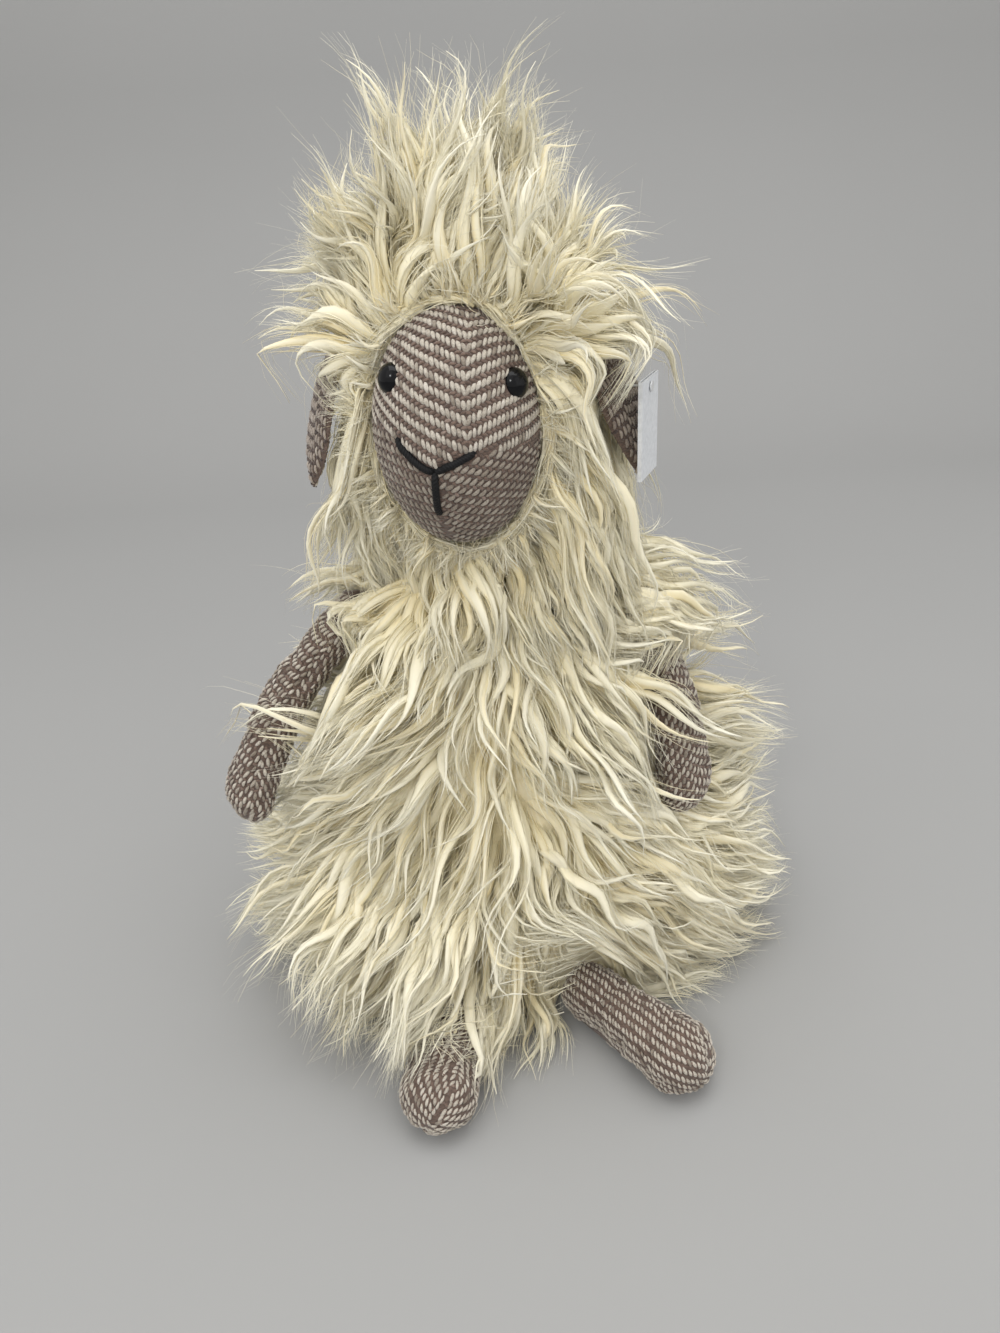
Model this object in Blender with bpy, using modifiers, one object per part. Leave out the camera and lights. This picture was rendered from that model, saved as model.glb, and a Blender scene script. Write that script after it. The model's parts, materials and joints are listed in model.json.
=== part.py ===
"""Plush sheep sitting up: long-haired body and head, woven face, and floppy woven limbs and ears.

Sizes are metres, written as millimetres times MM. +Z is up, the sheep faces -Y, and the origin is the
middle of the flat seat. Left and right are the sheep's own sides, so its left is at +X.
"""

import math

import bmesh
import bpy
from mathutils import Matrix, Vector

MM = 0.001
UP = Vector((0, 0, 1))
SIDES = {"left": 1, "right": -1}

# General clearances
GAP = 0.35 * MM
OVERRUN = 12 * MM
ROUND_MERGE = 0.01 * MM
SHARP_EDGE = math.radians(40)

# Body: the skin is the sewn bag, and the pile is the long hair that stands on it
NECK_HEIGHT = 250 * MM
BODY_LEAN = -8 * MM
BODY_STOOP = -8 * MM
PILE_HALF_WIDTH = 138 * MM
PILE_HALF_DEPTH = 112 * MM
SKIN_HALF_WIDTH = 93 * MM
SKIN_HALF_DEPTH = 58 * MM
BODY_SIDES = 32
BODY_ROWS = 12
# the pile hangs fuller on the sheep's left, where the mane falls over the shoulder
PILE_LEAN = 4 * MM
# each pair is a share of the neck's height and a share of the half width there
PILE_SHARES = (
    (0.0, 0.96), (0.05, 1.0), (0.14, 1.02), (0.28, 1.0), (0.44, 0.96), (0.60, 0.90),
    (0.74, 0.84), (0.86, 0.74), (0.94, 0.62), (1.0, 0.44), (1.04, 0.2),
)
# the locks gather into tufts, and the pile is drawn in between them
BODY_TUFTS = 8
BODY_TIER = 42 * MM
BODY_TUFT_DEPTH = 0.15
HEAD_TUFTS = 7
HEAD_TIER = 36 * MM
HEAD_TUFT_DEPTH = 0.14
SKIN_SHARES = (
    (0.0, 0.86), (0.05, 0.96), (0.16, 1.0), (0.30, 0.95), (0.44, 0.84), (0.60, 0.70),
    (0.74, 0.63), (0.86, 0.57), (0.93, 0.42), (0.965, 0.28), (1.04, 0.28),
)

# Seat
BASE_THICKNESS = 1.6 * MM
FLOOR_CUT = 0.5 * MM

# Bean pouch in the seat
POUCH_HEIGHT = 56 * MM
POUCH_WALL = 0.9 * MM
POUCH_MOUTH = 9 * MM
INNER_SIDES = 24

# Neck: a firm ball of stuffing that the head turns and nods on
NECK_BALL = 23 * MM
NECK_ROOM = 0.8 * MM
NECK_SEAT_DROP = 14 * MM
SHOULDER_SLOPE = math.radians(18)
JAW_SLOPE = math.radians(8)
NECK_SIDES = 24
NECK_ARC = 10

# Head, from the neck's centre
HEAD_TURN = math.radians(-9)
SKULL_CENTRE = Vector((0, -6 * MM, 68 * MM))
SKULL_RADII = Vector((46 * MM, 44 * MM, 56 * MM))
FACE_CENTRE = Vector((0, -33 * MM, 62 * MM))
FACE_RADII = Vector((35 * MM, 38 * MM, 49 * MM))
FACE_CLOTH = 1.3 * MM
FACE_SIDES = 24
FACE_RINGS = 14
HAIR_BOTTOM = 8 * MM
HAIR_HEIGHT = 182 * MM
HAIR_HALF_WIDTH = 79 * MM
HAIR_HALF_DEPTH = 68 * MM
HAIR_SETBACK = -8 * MM
HAIR_SIDES = 28
HAIR_ROWS = 10
# shares of the hair's height and half width
HAIR_SHARES = (
    (0.0, 0.50), (0.08, 0.66), (0.22, 0.73), (0.40, 0.74), (0.54, 0.82), (0.68, 0.98),
    (0.78, 1.0), (0.88, 0.86), (0.95, 0.60), (1.0, 0.0),
)

# Eyes: a glossy dome on a shank, locked by a washer inside the face
EYE_SPREAD = 25.5 * MM
EYE_HEIGHT = 22 * MM
EYE_RADIUS = 5.6 * MM
EYE_DOME = 4.2 * MM
SHANK_RADIUS = 1.6 * MM
SHANK_LENGTH = 8 * MM
WASHER_RADIUS = 6 * MM
WASHER_THICKNESS = 1.5 * MM
WASHER_SETBACK = 0.6 * MM
EYE_SIDES = 16
DOME_ARC = 5

# Mouth: three stitches of thick thread that meet under the nose
THREAD_RADIUS = 0.9 * MM
MOUTH_DROP = 7.5 * MM
MOUTH_SPREAD = 15 * MM
MOUTH_RISE = 9 * MM
CHIN_STITCH = 18.5 * MM
STITCH_POINTS = 7
THREAD_ROUNDNESS = 2

# Ears: two layers of cloth, hinged where they are sewn to the head
EAR_ROOT = Vector((57 * MM, -4 * MM, 90 * MM))
EAR_LENGTH = 62 * MM
EAR_WIDTH = 30 * MM
EAR_ROOT_SHARE = 0.42
EAR_CUP = 3.5 * MM
EAR_CLOTH = 1.4 * MM
EAR_HEADING = math.radians(64)
EAR_DROP = math.radians(72)
EAR_LIFT = math.radians(60)
EAR_ROWS = 9
EAR_COLUMNS = 5
# powers that shape the leaf: how its sewn root fades, where it is fullest and how round its ends are
LEAF_ROOT_FADE = 0.5
LEAF_FULLNESS = 0.9
LEAF_ROUNDNESS = 0.75

# Swing tag: a blank folded card on a plastic fastener through the left ear
TAG_WIDTH = 24 * MM
TAG_HEIGHT = 42 * MM
TAG_CARD = 0.5 * MM
TAG_FOLD = 0.8 * MM
TAG_HOLE = 1.6 * MM
TAG_HOLE_DROP = 4 * MM
TAG_TURN = math.radians(10)
TAG_ALONG_EAR = 21 * MM
FASTENER_RADIUS = 0.5 * MM
FASTENER_HEAD = 2.2 * MM
FASTENER_CAP = 0.7 * MM
FASTENER_SIDES = 12

# Limbs, each from its joint's centre to its tip
LIMB_CLOTH = 1.2 * MM
LIMB_MOUTH = 5 * MM
LIMB_SIDES = 16
LIMB_ROWS = 7
TIP_CROWDING = 1.6
ROOT_ARC = 5
ARM_LENGTH = 118 * MM
ARM_RADIUS = 12.5 * MM
ARM_HEIGHT = 214 * MM
ARM_STEP = 0.5 * MM
ARM_HEADING = {"left": math.radians(46), "right": math.radians(60)}
ARM_DROP = {"left": math.radians(70), "right": math.radians(52)}
ARM_RANGE = (0, math.radians(70))
ARM_SHARES = ((0.0, 0.88), (0.3, 0.9), (0.62, 0.97), (0.84, 1.0), (0.93, 0.82), (1.0, 0.0))
LEG_LENGTH = 80 * MM
LEG_RADIUS = 17.5 * MM
LEG_SPREAD = 31 * MM
LEG_FORWARD = 69.5 * MM
LEG_HEADING = {"left": math.radians(41), "right": math.radians(12)}
LEG_RANGE = (math.radians(-60), math.radians(35))
LEG_SHARES = ((0.0, 0.80), (0.3, 0.84), (0.6, 0.93), (0.78, 1.0), (0.9, 0.86), (1.0, 0.0))
SWEEP_STEPS = 8
ROOM_FLARE = 1.15

# Colours, roughness and metallic value
IVORY_PILE = ((0.80, 0.76, 0.60), 0.85, 0.0)
WOVEN_TWEED = ((0.42, 0.35, 0.31), 0.9, 0.0)
EAR_TWEED = ((0.30, 0.26, 0.24), 0.9, 0.0)
POLYESTER_FIBRE = ((0.90, 0.90, 0.88), 0.95, 0.0)
POUCH_CLOTH = ((0.75, 0.74, 0.70), 0.9, 0.0)
PLASTIC_BEANS = ((0.85, 0.86, 0.88), 0.5, 0.0)
BLACK_PLASTIC = ((0.01, 0.01, 0.01), 0.08, 0.0)
CLEAR_NYLON = ((0.85, 0.85, 0.85), 0.3, 0.0)
BLACK_THREAD = ((0.015, 0.015, 0.018), 0.7, 0.0)
TAG_PAPER = ((0.82, 0.83, 0.85), 0.5, 0.0)


def clear_scene():
    """Removes every object that the file opened with."""
    for obj in list(bpy.data.objects):
        bpy.data.objects.remove(obj)


def new_collection(name):
    """A collection under the scene."""
    made = bpy.data.collections.new(name)
    bpy.context.scene.collection.children.link(made)
    return made


def make_material(name, look):
    """A Principled material from a colour, roughness and metallic value."""
    colour, roughness, metallic = look
    made = bpy.data.materials.new(name)
    made.use_nodes = True
    shader = made.node_tree.nodes["Principled BSDF"]
    shader.inputs["Base Color"].default_value = (*colour, 1)
    shader.inputs["Roughness"].default_value = roughness
    shader.inputs["Metallic"].default_value = metallic
    return made


def smooth_at(pairs, share):
    """The value at a share, on a smooth curve through (share, value) pairs."""
    last = len(pairs) - 1
    spot = 0
    while spot < last - 1 and share > pairs[spot + 1][0]:
        spot += 1
    x0, y0 = pairs[spot]
    x1, y1 = pairs[spot + 1]
    before = pairs[max(spot - 1, 0)]
    after = pairs[min(spot + 2, last)]
    slope0 = (y1 - before[1]) / (x1 - before[0])
    slope1 = (after[1] - y0) / (after[0] - x0)
    run = x1 - x0
    t = (share - x0) / run
    start = (2 * t ** 3 - 3 * t ** 2 + 1) * y0 + (t ** 3 - 2 * t ** 2 + t) * run * slope0
    end = (3 * t ** 2 - 2 * t ** 3) * y1 + (t ** 3 - t ** 2) * run * slope1
    return start + end


def cleaned(mesh):
    """Welds a mesh's seams and turns its faces outward."""
    work = bmesh.new()
    work.from_mesh(mesh)
    bmesh.ops.remove_doubles(work, verts=work.verts, dist=ROUND_MERGE)
    bmesh.ops.recalc_face_normals(work, faces=work.faces)
    work.to_mesh(mesh)
    work.free()
    return mesh


def add_object(name, mesh, collection, matrix=None):
    """Puts a mesh in a collection, placed by a matrix."""
    obj = bpy.data.objects.new(name, mesh)
    collection.objects.link(obj)
    if matrix is not None:
        obj.matrix_world = matrix
    return obj


def baked(obj, shape=None):
    """The object with its modifiers applied, and its mesh reshaped by a matrix."""
    bpy.context.view_layer.update()
    graph = bpy.context.evaluated_depsgraph_get()
    mesh = bpy.data.meshes.new_from_object(obj.evaluated_get(graph))
    if shape is not None:
        mesh.transform(shape)
    obj.modifiers.clear()
    obj.data = cleaned(mesh)
    return obj


def turned(name, outline, sides, collection, matrix=None, shape=None):
    """A solid turned about its own Z from (radius, height) points, both ends on the axis."""
    mesh = bpy.data.meshes.new(name)
    points = [(radius, 0, height) for radius, height in outline]
    mesh.from_pydata(points, [(i, i + 1) for i in range(len(points) - 1)], [])
    obj = add_object(name, mesh, collection, matrix)
    screw = obj.modifiers.new("turn", "SCREW")
    screw.steps = sides
    screw.render_steps = sides
    screw.use_merge_vertices = True
    screw.merge_threshold = ROUND_MERGE
    return baked(obj, shape)


def ellipsoid(name, centre, radii, collection, parent=None, sides=FACE_SIDES, rings=FACE_RINGS):
    """An ellipsoid whose poles lie on Y, in its parent's frame."""
    mesh = bpy.data.meshes.new(name)
    work = bmesh.new()
    bmesh.ops.create_uvsphere(work, u_segments=sides, v_segments=rings, radius=1)
    bmesh.ops.rotate(work, verts=work.verts, matrix=Matrix.Rotation(math.pi / 2, 3, "X"))
    bmesh.ops.scale(work, verts=work.verts, vec=radii)
    bmesh.ops.translate(work, verts=work.verts, vec=centre)
    work.to_mesh(mesh)
    work.free()
    obj = add_object(name, cleaned(mesh), collection)
    obj.parent = parent
    return obj


def block(name, low, high, collection, parent=None):
    """A box between two corners."""
    mesh = bpy.data.meshes.new(name)
    work = bmesh.new()
    bmesh.ops.create_cube(work, size=1)
    bmesh.ops.scale(work, verts=work.verts, vec=Vector(high) - Vector(low))
    bmesh.ops.translate(work, verts=work.verts, vec=(Vector(low) + Vector(high)) / 2)
    work.to_mesh(mesh)
    work.free()
    obj = add_object(name, mesh, collection)
    obj.parent = parent
    return obj


def copy_of(obj, name, collection):
    """A second object with its own copy of the mesh."""
    made = add_object(name, obj.data.copy(), collection, obj.matrix_world)
    made.parent = obj.parent
    made.matrix_basis = obj.matrix_basis
    return made


def boolean(obj, other, operation):
    """Adds an exact Boolean with another object."""
    modifier = obj.modifiers.new(other.name, "BOOLEAN")
    modifier.object = other
    modifier.operation = operation
    modifier.solver = "EXACT"
    return obj


def cut(obj, *cutters):
    """Takes the cutters away from the object."""
    for cutter in cutters:
        boolean(obj, cutter, "DIFFERENCE")
    return obj


def dress(obj, material):
    """Gives a finished piece its material and smooth shading."""
    obj.data.materials.clear()
    obj.data.materials.append(material)
    obj.data.shade_smooth()
    obj.data.set_sharp_from_angle(angle=SHARP_EDGE)
    return obj


def lean_matrix(width, depth, sideways=BODY_LEAN):
    """Scales a round form to the body's oval and leans it toward the neck."""
    shape = Matrix.Diagonal((width, depth, 1, 1))
    lean = Matrix.Identity(4)
    lean[0][2] = sideways / NECK_HEIGHT
    lean[1][2] = BODY_STOOP / NECK_HEIGHT
    return lean @ shape


def neck_point():
    """The centre that the head turns and nods about."""
    return Vector((BODY_LEAN, BODY_STOOP, NECK_HEIGHT))


def row_heights(low, high):
    """The heights from high to low at which every slice of the body has its corners."""
    step = NECK_HEIGHT / BODY_ROWS
    between = [step * row for row in range(BODY_ROWS + 2) if low < step * row < high]
    return [high, *reversed(between), low]


def body_width(shares, height):
    """The share of the half width at a height, straight between the rows."""
    step = NECK_HEIGHT / BODY_ROWS
    row = min(max(math.floor(height / step), 0), BODY_ROWS)
    below = smooth_at(shares, row / BODY_ROWS)
    above = smooth_at(shares, min((row + 1) / BODY_ROWS, shares[-1][0]))
    return below + (above - below) * min(max(height / step - row, 0), 1)


def body_outline(shares, low, high, inset, half_width):
    """Shares of the half width from high to low, with both ends closed on the axis."""
    outline = [(0, high)]
    for height in row_heights(low, high):
        outline.append((body_width(shares, height) - inset / half_width, height))
    outline.append((0, low))
    return outline


def body_form(name, shares, low, high, inset, half_width, half_depth, sides, collection):
    """One oval slice of the body, from a table of shares."""
    outline = body_outline(shares, low, high, inset, half_width)
    shape = lean_matrix(half_width, half_depth)
    return turned(name, outline, sides, collection, shape=shape)


def tufted(obj, tufts, tier, depth):
    """Draws a round form in between tufts, which lie in tiers set half a tuft round from each other."""
    for vert in obj.data.vertices:
        angle = math.atan2(vert.co.y, vert.co.x)
        wave = math.cos(tufts * angle) * math.cos(math.pi * vert.co.z / tier)
        share = 1 - depth * (1 - wave) / 2
        vert.co.x *= share
        vert.co.y *= share
    return obj


def pouch_outline(low, high):
    """The pouch's wall, with its filling mouth open at the top."""
    outside = body_outline(SKIN_SHARES, low, high, GAP, SKIN_HALF_WIDTH)[1:]
    inside = body_outline(
        SKIN_SHARES, low + POUCH_WALL, high - POUCH_WALL, GAP + POUCH_WALL, SKIN_HALF_WIDTH
    )[1:]
    mouth = POUCH_MOUTH / SKIN_HALF_WIDTH
    return [*reversed(outside), (mouth, high), (mouth, high - POUCH_WALL), *inside]


def pointing_frame(pivot, side, heading, drop):
    """A frame at a joint: Z runs down the limb and X is the axis that lifts it."""
    level = Vector((side * math.sin(heading), -math.cos(heading), 0))
    along = level * math.cos(drop) - UP * math.sin(drop)
    axis = along.cross(UP).normalized()
    across = along.cross(axis)
    turn = Matrix((axis, across, along)).transposed().to_4x4()
    return Matrix.Translation(pivot) @ turn


def limb_outline(shares, length, radius, inset, rows=LIMB_ROWS):
    """(radius, height) from the tip down to the ball at the joint, moved inward by inset."""
    root = radius * shares[0][1] - inset
    reach = length - inset
    outline = [(0, reach)]
    for row in range(1, rows + 1):
        share = 1 - (row / rows) ** TIP_CROWDING
        width = smooth_at(shares, share) * radius - inset
        outline.append((max(width, 0), share * reach))
    for step in range(1, ROOT_ARC + 1):
        angle = math.pi / 2 * step / ROOT_ARC
        outline.append((root * math.cos(angle), -root * math.sin(angle)))
    outline[-1] = (0, -root)
    return outline


def limb_shell_outline(shares, length, radius):
    """The limb's cloth, with the mouth it is stuffed through open at the joint."""
    outside = limb_outline(shares, length, radius, 0)
    inside = limb_outline(shares, length, radius, LIMB_CLOTH)
    root = radius * shares[0][1]
    rim = [(LIMB_MOUTH, -math.sqrt(root ** 2 - LIMB_MOUTH ** 2))]
    inner_root = root - LIMB_CLOTH
    rim.append((LIMB_MOUTH, -math.sqrt(inner_root ** 2 - LIMB_MOUTH ** 2)))
    outside = [point for point in outside if point[1] > 0 or point[0] > LIMB_MOUTH]
    inside = [point for point in inside if point[1] > 0 or point[0] > LIMB_MOUTH]
    return [*outside, *rim, *reversed(inside)]


def sweep_room(name, frame, reach, root_half, tip_half, width, limits, collection, parent=None):
    """The flat room that a limb sweeps through between two angles about its joint's axis."""
    low, high = limits
    spread = math.asin(tip_half / reach)
    points = []
    for step in range(SWEEP_STEPS + 1):
        angle = low - spread + (high - low + 2 * spread) * step / SWEEP_STEPS
        points.append((0, -reach * math.sin(angle), reach * math.cos(angle)))
    behind = math.pi + low - high
    for step in range(SWEEP_STEPS + 1):
        angle = high + math.pi / 2 + behind * step / SWEEP_STEPS
        points.append((0, -root_half * math.sin(angle), root_half * math.cos(angle)))
    mesh = bpy.data.meshes.new(name)
    mesh.from_pydata(points, [], [tuple(range(len(points)))])
    obj = add_object(name, mesh, collection)
    obj.parent = parent
    obj.matrix_local = frame
    solidify = obj.modifiers.new("thickness", "SOLIDIFY")
    solidify.thickness = width
    solidify.offset = 0
    return baked(obj)


def limb_room(name, frame, shares, length, radius, limits, collection):
    """The room that a limb needs through its whole range."""
    root_half = radius * shares[0][1] + GAP
    tip_half = radius * ROOM_FLARE + GAP
    width = 2 * (radius + GAP)
    return sweep_room(name, frame, length + GAP, root_half, tip_half, width, limits, collection)


def make_limb(name, frame, shares, length, radius, parts, looks):
    """A limb's cloth cover and the stuffing in it, on one joint frame."""
    cover = turned(
        f"{name}_cover", limb_shell_outline(shares, length, radius), LIMB_SIDES, parts, matrix=frame
    )
    inner = limb_outline(shares, length, radius, LIMB_CLOTH + GAP)
    stuffing = turned(f"{name}_stuffing", inner, LIMB_SIDES, parts, matrix=frame)
    dress(cover, looks["tweed"])
    dress(stuffing, looks["fibre"])
    return cover


def arm_frame(side_name):
    """The shoulder's frame, where the arm meets the side seam."""
    side = SIDES[side_name]
    share = ARM_HEIGHT / NECK_HEIGHT
    skin = smooth_at(SKIN_SHARES, share) * SKIN_HALF_WIDTH
    out = skin + ARM_RADIUS * ARM_SHARES[0][1] + GAP + ARM_STEP
    pivot = Vector((BODY_LEAN * share + side * out, BODY_STOOP * share, ARM_HEIGHT))
    return pointing_frame(pivot, side, ARM_HEADING[side_name], ARM_DROP[side_name])


def leg_frame(side_name):
    """The hip's frame, with the leg lying on the floor."""
    side = SIDES[side_name]
    pivot = Vector((side * LEG_SPREAD, -LEG_FORWARD, LEG_RADIUS - FLOOR_CUT))
    return pointing_frame(pivot, side, LEG_HEADING[side_name], 0)


def ear_frame(side_name):
    """The ear's frame, in the head's own frame."""
    side = SIDES[side_name]
    root = Vector((side * EAR_ROOT.x, EAR_ROOT.y, EAR_ROOT.z))
    return pointing_frame(root, side, EAR_HEADING, EAR_DROP)


def shoulder_cone(collection):
    """Clears everything above the shoulders' slope, so that the head can nod."""
    reach = PILE_HALF_WIDTH + OVERRUN
    outline = [(0, reach), (reach, reach), (reach, -reach * math.tan(SHOULDER_SLOPE)), (0, 0)]
    return turned(
        "shoulder_cone", outline, NECK_SIDES, collection, matrix=Matrix.Translation(neck_point())
    )


def neck_room(name, centre, collection, parent=None):
    """The ball of room that the neck's stuffing turns in."""
    radii = Vector((1, 1, 1)) * (NECK_BALL + NECK_ROOM)
    return ellipsoid(name, centre, radii, collection, parent, NECK_SIDES, NECK_SIDES // 2)


def jaw_cone(collection, parent):
    """Clears everything under the jaw's slope."""
    reach = HAIR_HALF_WIDTH + OVERRUN
    outline = [(0, 0), (reach, reach * math.tan(JAW_SLOPE)), (reach, -reach), (0, -reach)]
    obj = turned("jaw_cone", outline, NECK_SIDES, collection)
    obj.parent = parent
    return obj


def make_body(parts, cutters, looks):
    """The pile in two halves, the base panel, the bean pouch and its fill, and the stuffing."""
    pile_top = NECK_HEIGHT * PILE_SHARES[-1][0]
    skin_top = NECK_HEIGHT * SKIN_SHARES[-1][0]
    outline = body_outline(PILE_SHARES, 0, pile_top, 0, PILE_HALF_WIDTH)
    pile = turned("pile_form", outline, BODY_SIDES, cutters)
    tufted(pile, BODY_TUFTS, BODY_TIER, BODY_TUFT_DEPTH)
    pile.data.transform(lean_matrix(PILE_HALF_WIDTH, PILE_HALF_DEPTH, PILE_LEAN))
    skin = body_form(
        "skin_form", SKIN_SHARES, -OVERRUN, skin_top, 0,
        SKIN_HALF_WIDTH, SKIN_HALF_DEPTH, INNER_SIDES, cutters,
    )
    room = [shoulder_cone(cutters), neck_room("body_neck_room", neck_point(), cutters)]
    for side_name in SIDES:
        room.append(
            limb_room(
                f"arm_{side_name}_room", arm_frame(side_name), ARM_SHARES, ARM_LENGTH, ARM_RADIUS,
                ARM_RANGE, cutters,
            )
        )
    hip_room = []
    for side_name in SIDES:
        hip_room.append(
            limb_room(
                f"leg_{side_name}_room", leg_frame(side_name), LEG_SHARES, LEG_LENGTH, LEG_RADIUS,
                LEG_RANGE, cutters,
            )
        )
    far = PILE_HALF_WIDTH + OVERRUN
    top = pile_top + OVERRUN
    behind = block("behind_seam", (-far, -GAP / 2, -OVERRUN), (far, far, top), cutters)
    ahead = block("ahead_of_seam", (-far, -far, -OVERRUN), (far, GAP / 2, top), cutters)
    front = cut(copy_of(pile, "body_fur_front", parts), skin, *room, *hip_room, behind)
    back = cut(copy_of(pile, "body_fur_back", parts), skin, *room, ahead)
    dress(front, looks["pile"])
    dress(back, looks["pile"])

    base = body_form(
        "body_base_panel", SKIN_SHARES, 0, BASE_THICKNESS, GAP,
        SKIN_HALF_WIDTH, SKIN_HALF_DEPTH, INNER_SIDES, parts,
    )
    dress(base, looks["pile"])
    pouch_low = BASE_THICKNESS + GAP
    pouch = turned(
        "bean_pouch", pouch_outline(pouch_low, POUCH_HEIGHT), INNER_SIDES, parts,
        shape=lean_matrix(SKIN_HALF_WIDTH, SKIN_HALF_DEPTH),
    )
    dress(pouch, looks["pouch"])
    inset = 2 * GAP + POUCH_WALL
    beans = body_form(
        "bean_fill", SKIN_SHARES, pouch_low + POUCH_WALL + GAP, POUCH_HEIGHT - POUCH_WALL - GAP,
        inset, SKIN_HALF_WIDTH, SKIN_HALF_DEPTH, INNER_SIDES, parts,
    )
    dress(beans, looks["beans"])
    seat = NECK_HEIGHT - NECK_SEAT_DROP
    stuffing = body_form(
        "body_stuffing", SKIN_SHARES, POUCH_HEIGHT + GAP, seat, GAP,
        SKIN_HALF_WIDTH, SKIN_HALF_DEPTH, INNER_SIDES, parts,
    )
    dress(stuffing, looks["fibre"])


def make_neck(parts, looks):
    """The ball of stuffing in the neck, flat where it sits on the body's stuffing."""
    low = -NECK_SEAT_DROP + GAP
    start = math.asin(low / NECK_BALL)
    outline = [(0, NECK_BALL)]
    for step in range(1, NECK_ARC + 1):
        angle = math.pi / 2 + (start - math.pi / 2) * step / NECK_ARC
        outline.append((NECK_BALL * math.cos(angle), NECK_BALL * math.sin(angle)))
    outline.append((0, low))
    ball = turned(
        "neck_stuffing", outline, NECK_SIDES, parts, matrix=Matrix.Translation(neck_point())
    )
    dress(ball, looks["fibre"])


def face_point(x, z, lift=0):
    """A point on the face's cloth, in the head's frame, and the outward direction there."""
    spread = (x / FACE_RADII.x) ** 2 + (z / FACE_RADII.z) ** 2
    y = -FACE_RADII.y * math.sqrt(1 - spread)
    out = Vector((x / FACE_RADII.x ** 2, y / FACE_RADII.y ** 2, z / FACE_RADII.z ** 2)).normalized()
    return FACE_CENTRE + Vector((x, y, z)) + out * lift, out


def eye_matrix(side, lift=0):
    """Where an eye sits on the face, with Z pointing out of the cloth."""
    place, out = face_point(side * EYE_SPREAD, EYE_HEIGHT, lift)
    return Matrix.Translation(place) @ out.to_track_quat("Z", "Y").to_matrix().to_4x4()


def head_piece(obj, head):
    """Hangs an object on the head's frame with its place kept."""
    place = obj.matrix_basis.copy()
    obj.parent = head
    obj.matrix_local = place
    return obj


def rod_outline(radius, low, high):
    """A plain cylinder's outline."""
    return [(0, high), (radius, high), (radius, low), (0, low)]


def make_eye(side_name, head, parts, cutters, looks):
    """One eye and its washer, with the cutters for the hole and the pocket behind it."""
    place = eye_matrix(SIDES[side_name])
    outline = []
    for step in range(DOME_ARC + 1):
        angle = math.pi / 2 * (1 - step / DOME_ARC)
        outline.append((EYE_RADIUS * math.cos(angle), GAP + EYE_DOME * math.sin(angle)))
    outline[0] = (0, GAP + EYE_DOME)
    outline += [(SHANK_RADIUS, GAP), (SHANK_RADIUS, -SHANK_LENGTH), (0, -SHANK_LENGTH)]
    eye = head_piece(turned(f"eye_{side_name}", outline, EYE_SIDES, parts, matrix=place), head)
    dress(eye, looks["eye"])

    bore = SHANK_RADIUS + GAP
    front = -FACE_CLOTH - GAP - WASHER_SETBACK
    back = front - WASHER_THICKNESS
    ring = [(bore, front), (WASHER_RADIUS, front), (WASHER_RADIUS, back), (bore, back), (bore, front)]
    washer = head_piece(
        turned(f"eye_washer_{side_name}", ring, EYE_SIDES, parts, matrix=place), head
    )
    dress(washer, looks["washer"])

    hole = turned(
        f"eye_hole_{side_name}", rod_outline(bore, -SHANK_LENGTH, SHANK_LENGTH), EYE_SIDES, cutters,
        matrix=place,
    )
    pocket = turned(
        f"eye_pocket_{side_name}",
        rod_outline(WASHER_RADIUS + GAP, -SHANK_LENGTH - GAP, SHANK_LENGTH), EYE_SIDES, cutters,
        matrix=place,
    )
    return head_piece(hole, head), head_piece(pocket, head)


def make_face(head, parts, cutters, holes, looks):
    """The two halves of the woven face, sewn together down the middle."""
    inside = ellipsoid(
        "face_inside", FACE_CENTRE, FACE_RADII - Vector((1, 1, 1)) * FACE_CLOTH, cutters, head
    )
    far = PILE_HALF_WIDTH
    behind = block("behind_face", (-far, FACE_CENTRE.y, -far), (far, far, far), cutters, head)
    for side_name, side in SIDES.items():
        near, away = sorted((side * GAP / 2, -side * far))
        other = block(f"face_not_{side_name}", (near, -far, -far), (away, far, far), cutters, head)
        panel = ellipsoid(f"face_panel_{side_name}", FACE_CENTRE, FACE_RADII, parts, head)
        cut(panel, inside, behind, other, holes[side_name])
        dress(panel, looks["tweed"])


def make_head_filling(head, parts, cutters, pockets, looks):
    """The skull and snout of stuffing, with a socket for the neck and pockets behind the eyes."""
    shrink = Vector((1, 1, 1))
    skull = ellipsoid("head_stuffing", SKULL_CENTRE, SKULL_RADII - shrink * GAP, parts, head)
    snout_radii = FACE_RADII - shrink * (FACE_CLOTH + GAP)
    snout = ellipsoid("snout_form", FACE_CENTRE, snout_radii, cutters, head)
    socket = neck_room("neck_socket", Vector((0, 0, 0)), cutters, head)
    room = ellipsoid("face_room", FACE_CENTRE, FACE_RADII + shrink * GAP, cutters, head)
    far = PILE_HALF_WIDTH
    edge = FACE_CENTRE.y + GAP
    cut(room, block("behind_face_room", (-far, edge, -far), (far, far, far), cutters, head))
    cut(skull, room)
    boolean(skull, snout, "UNION")
    cut(skull, socket, *pockets)
    dress(skull, looks["fibre"])


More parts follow.
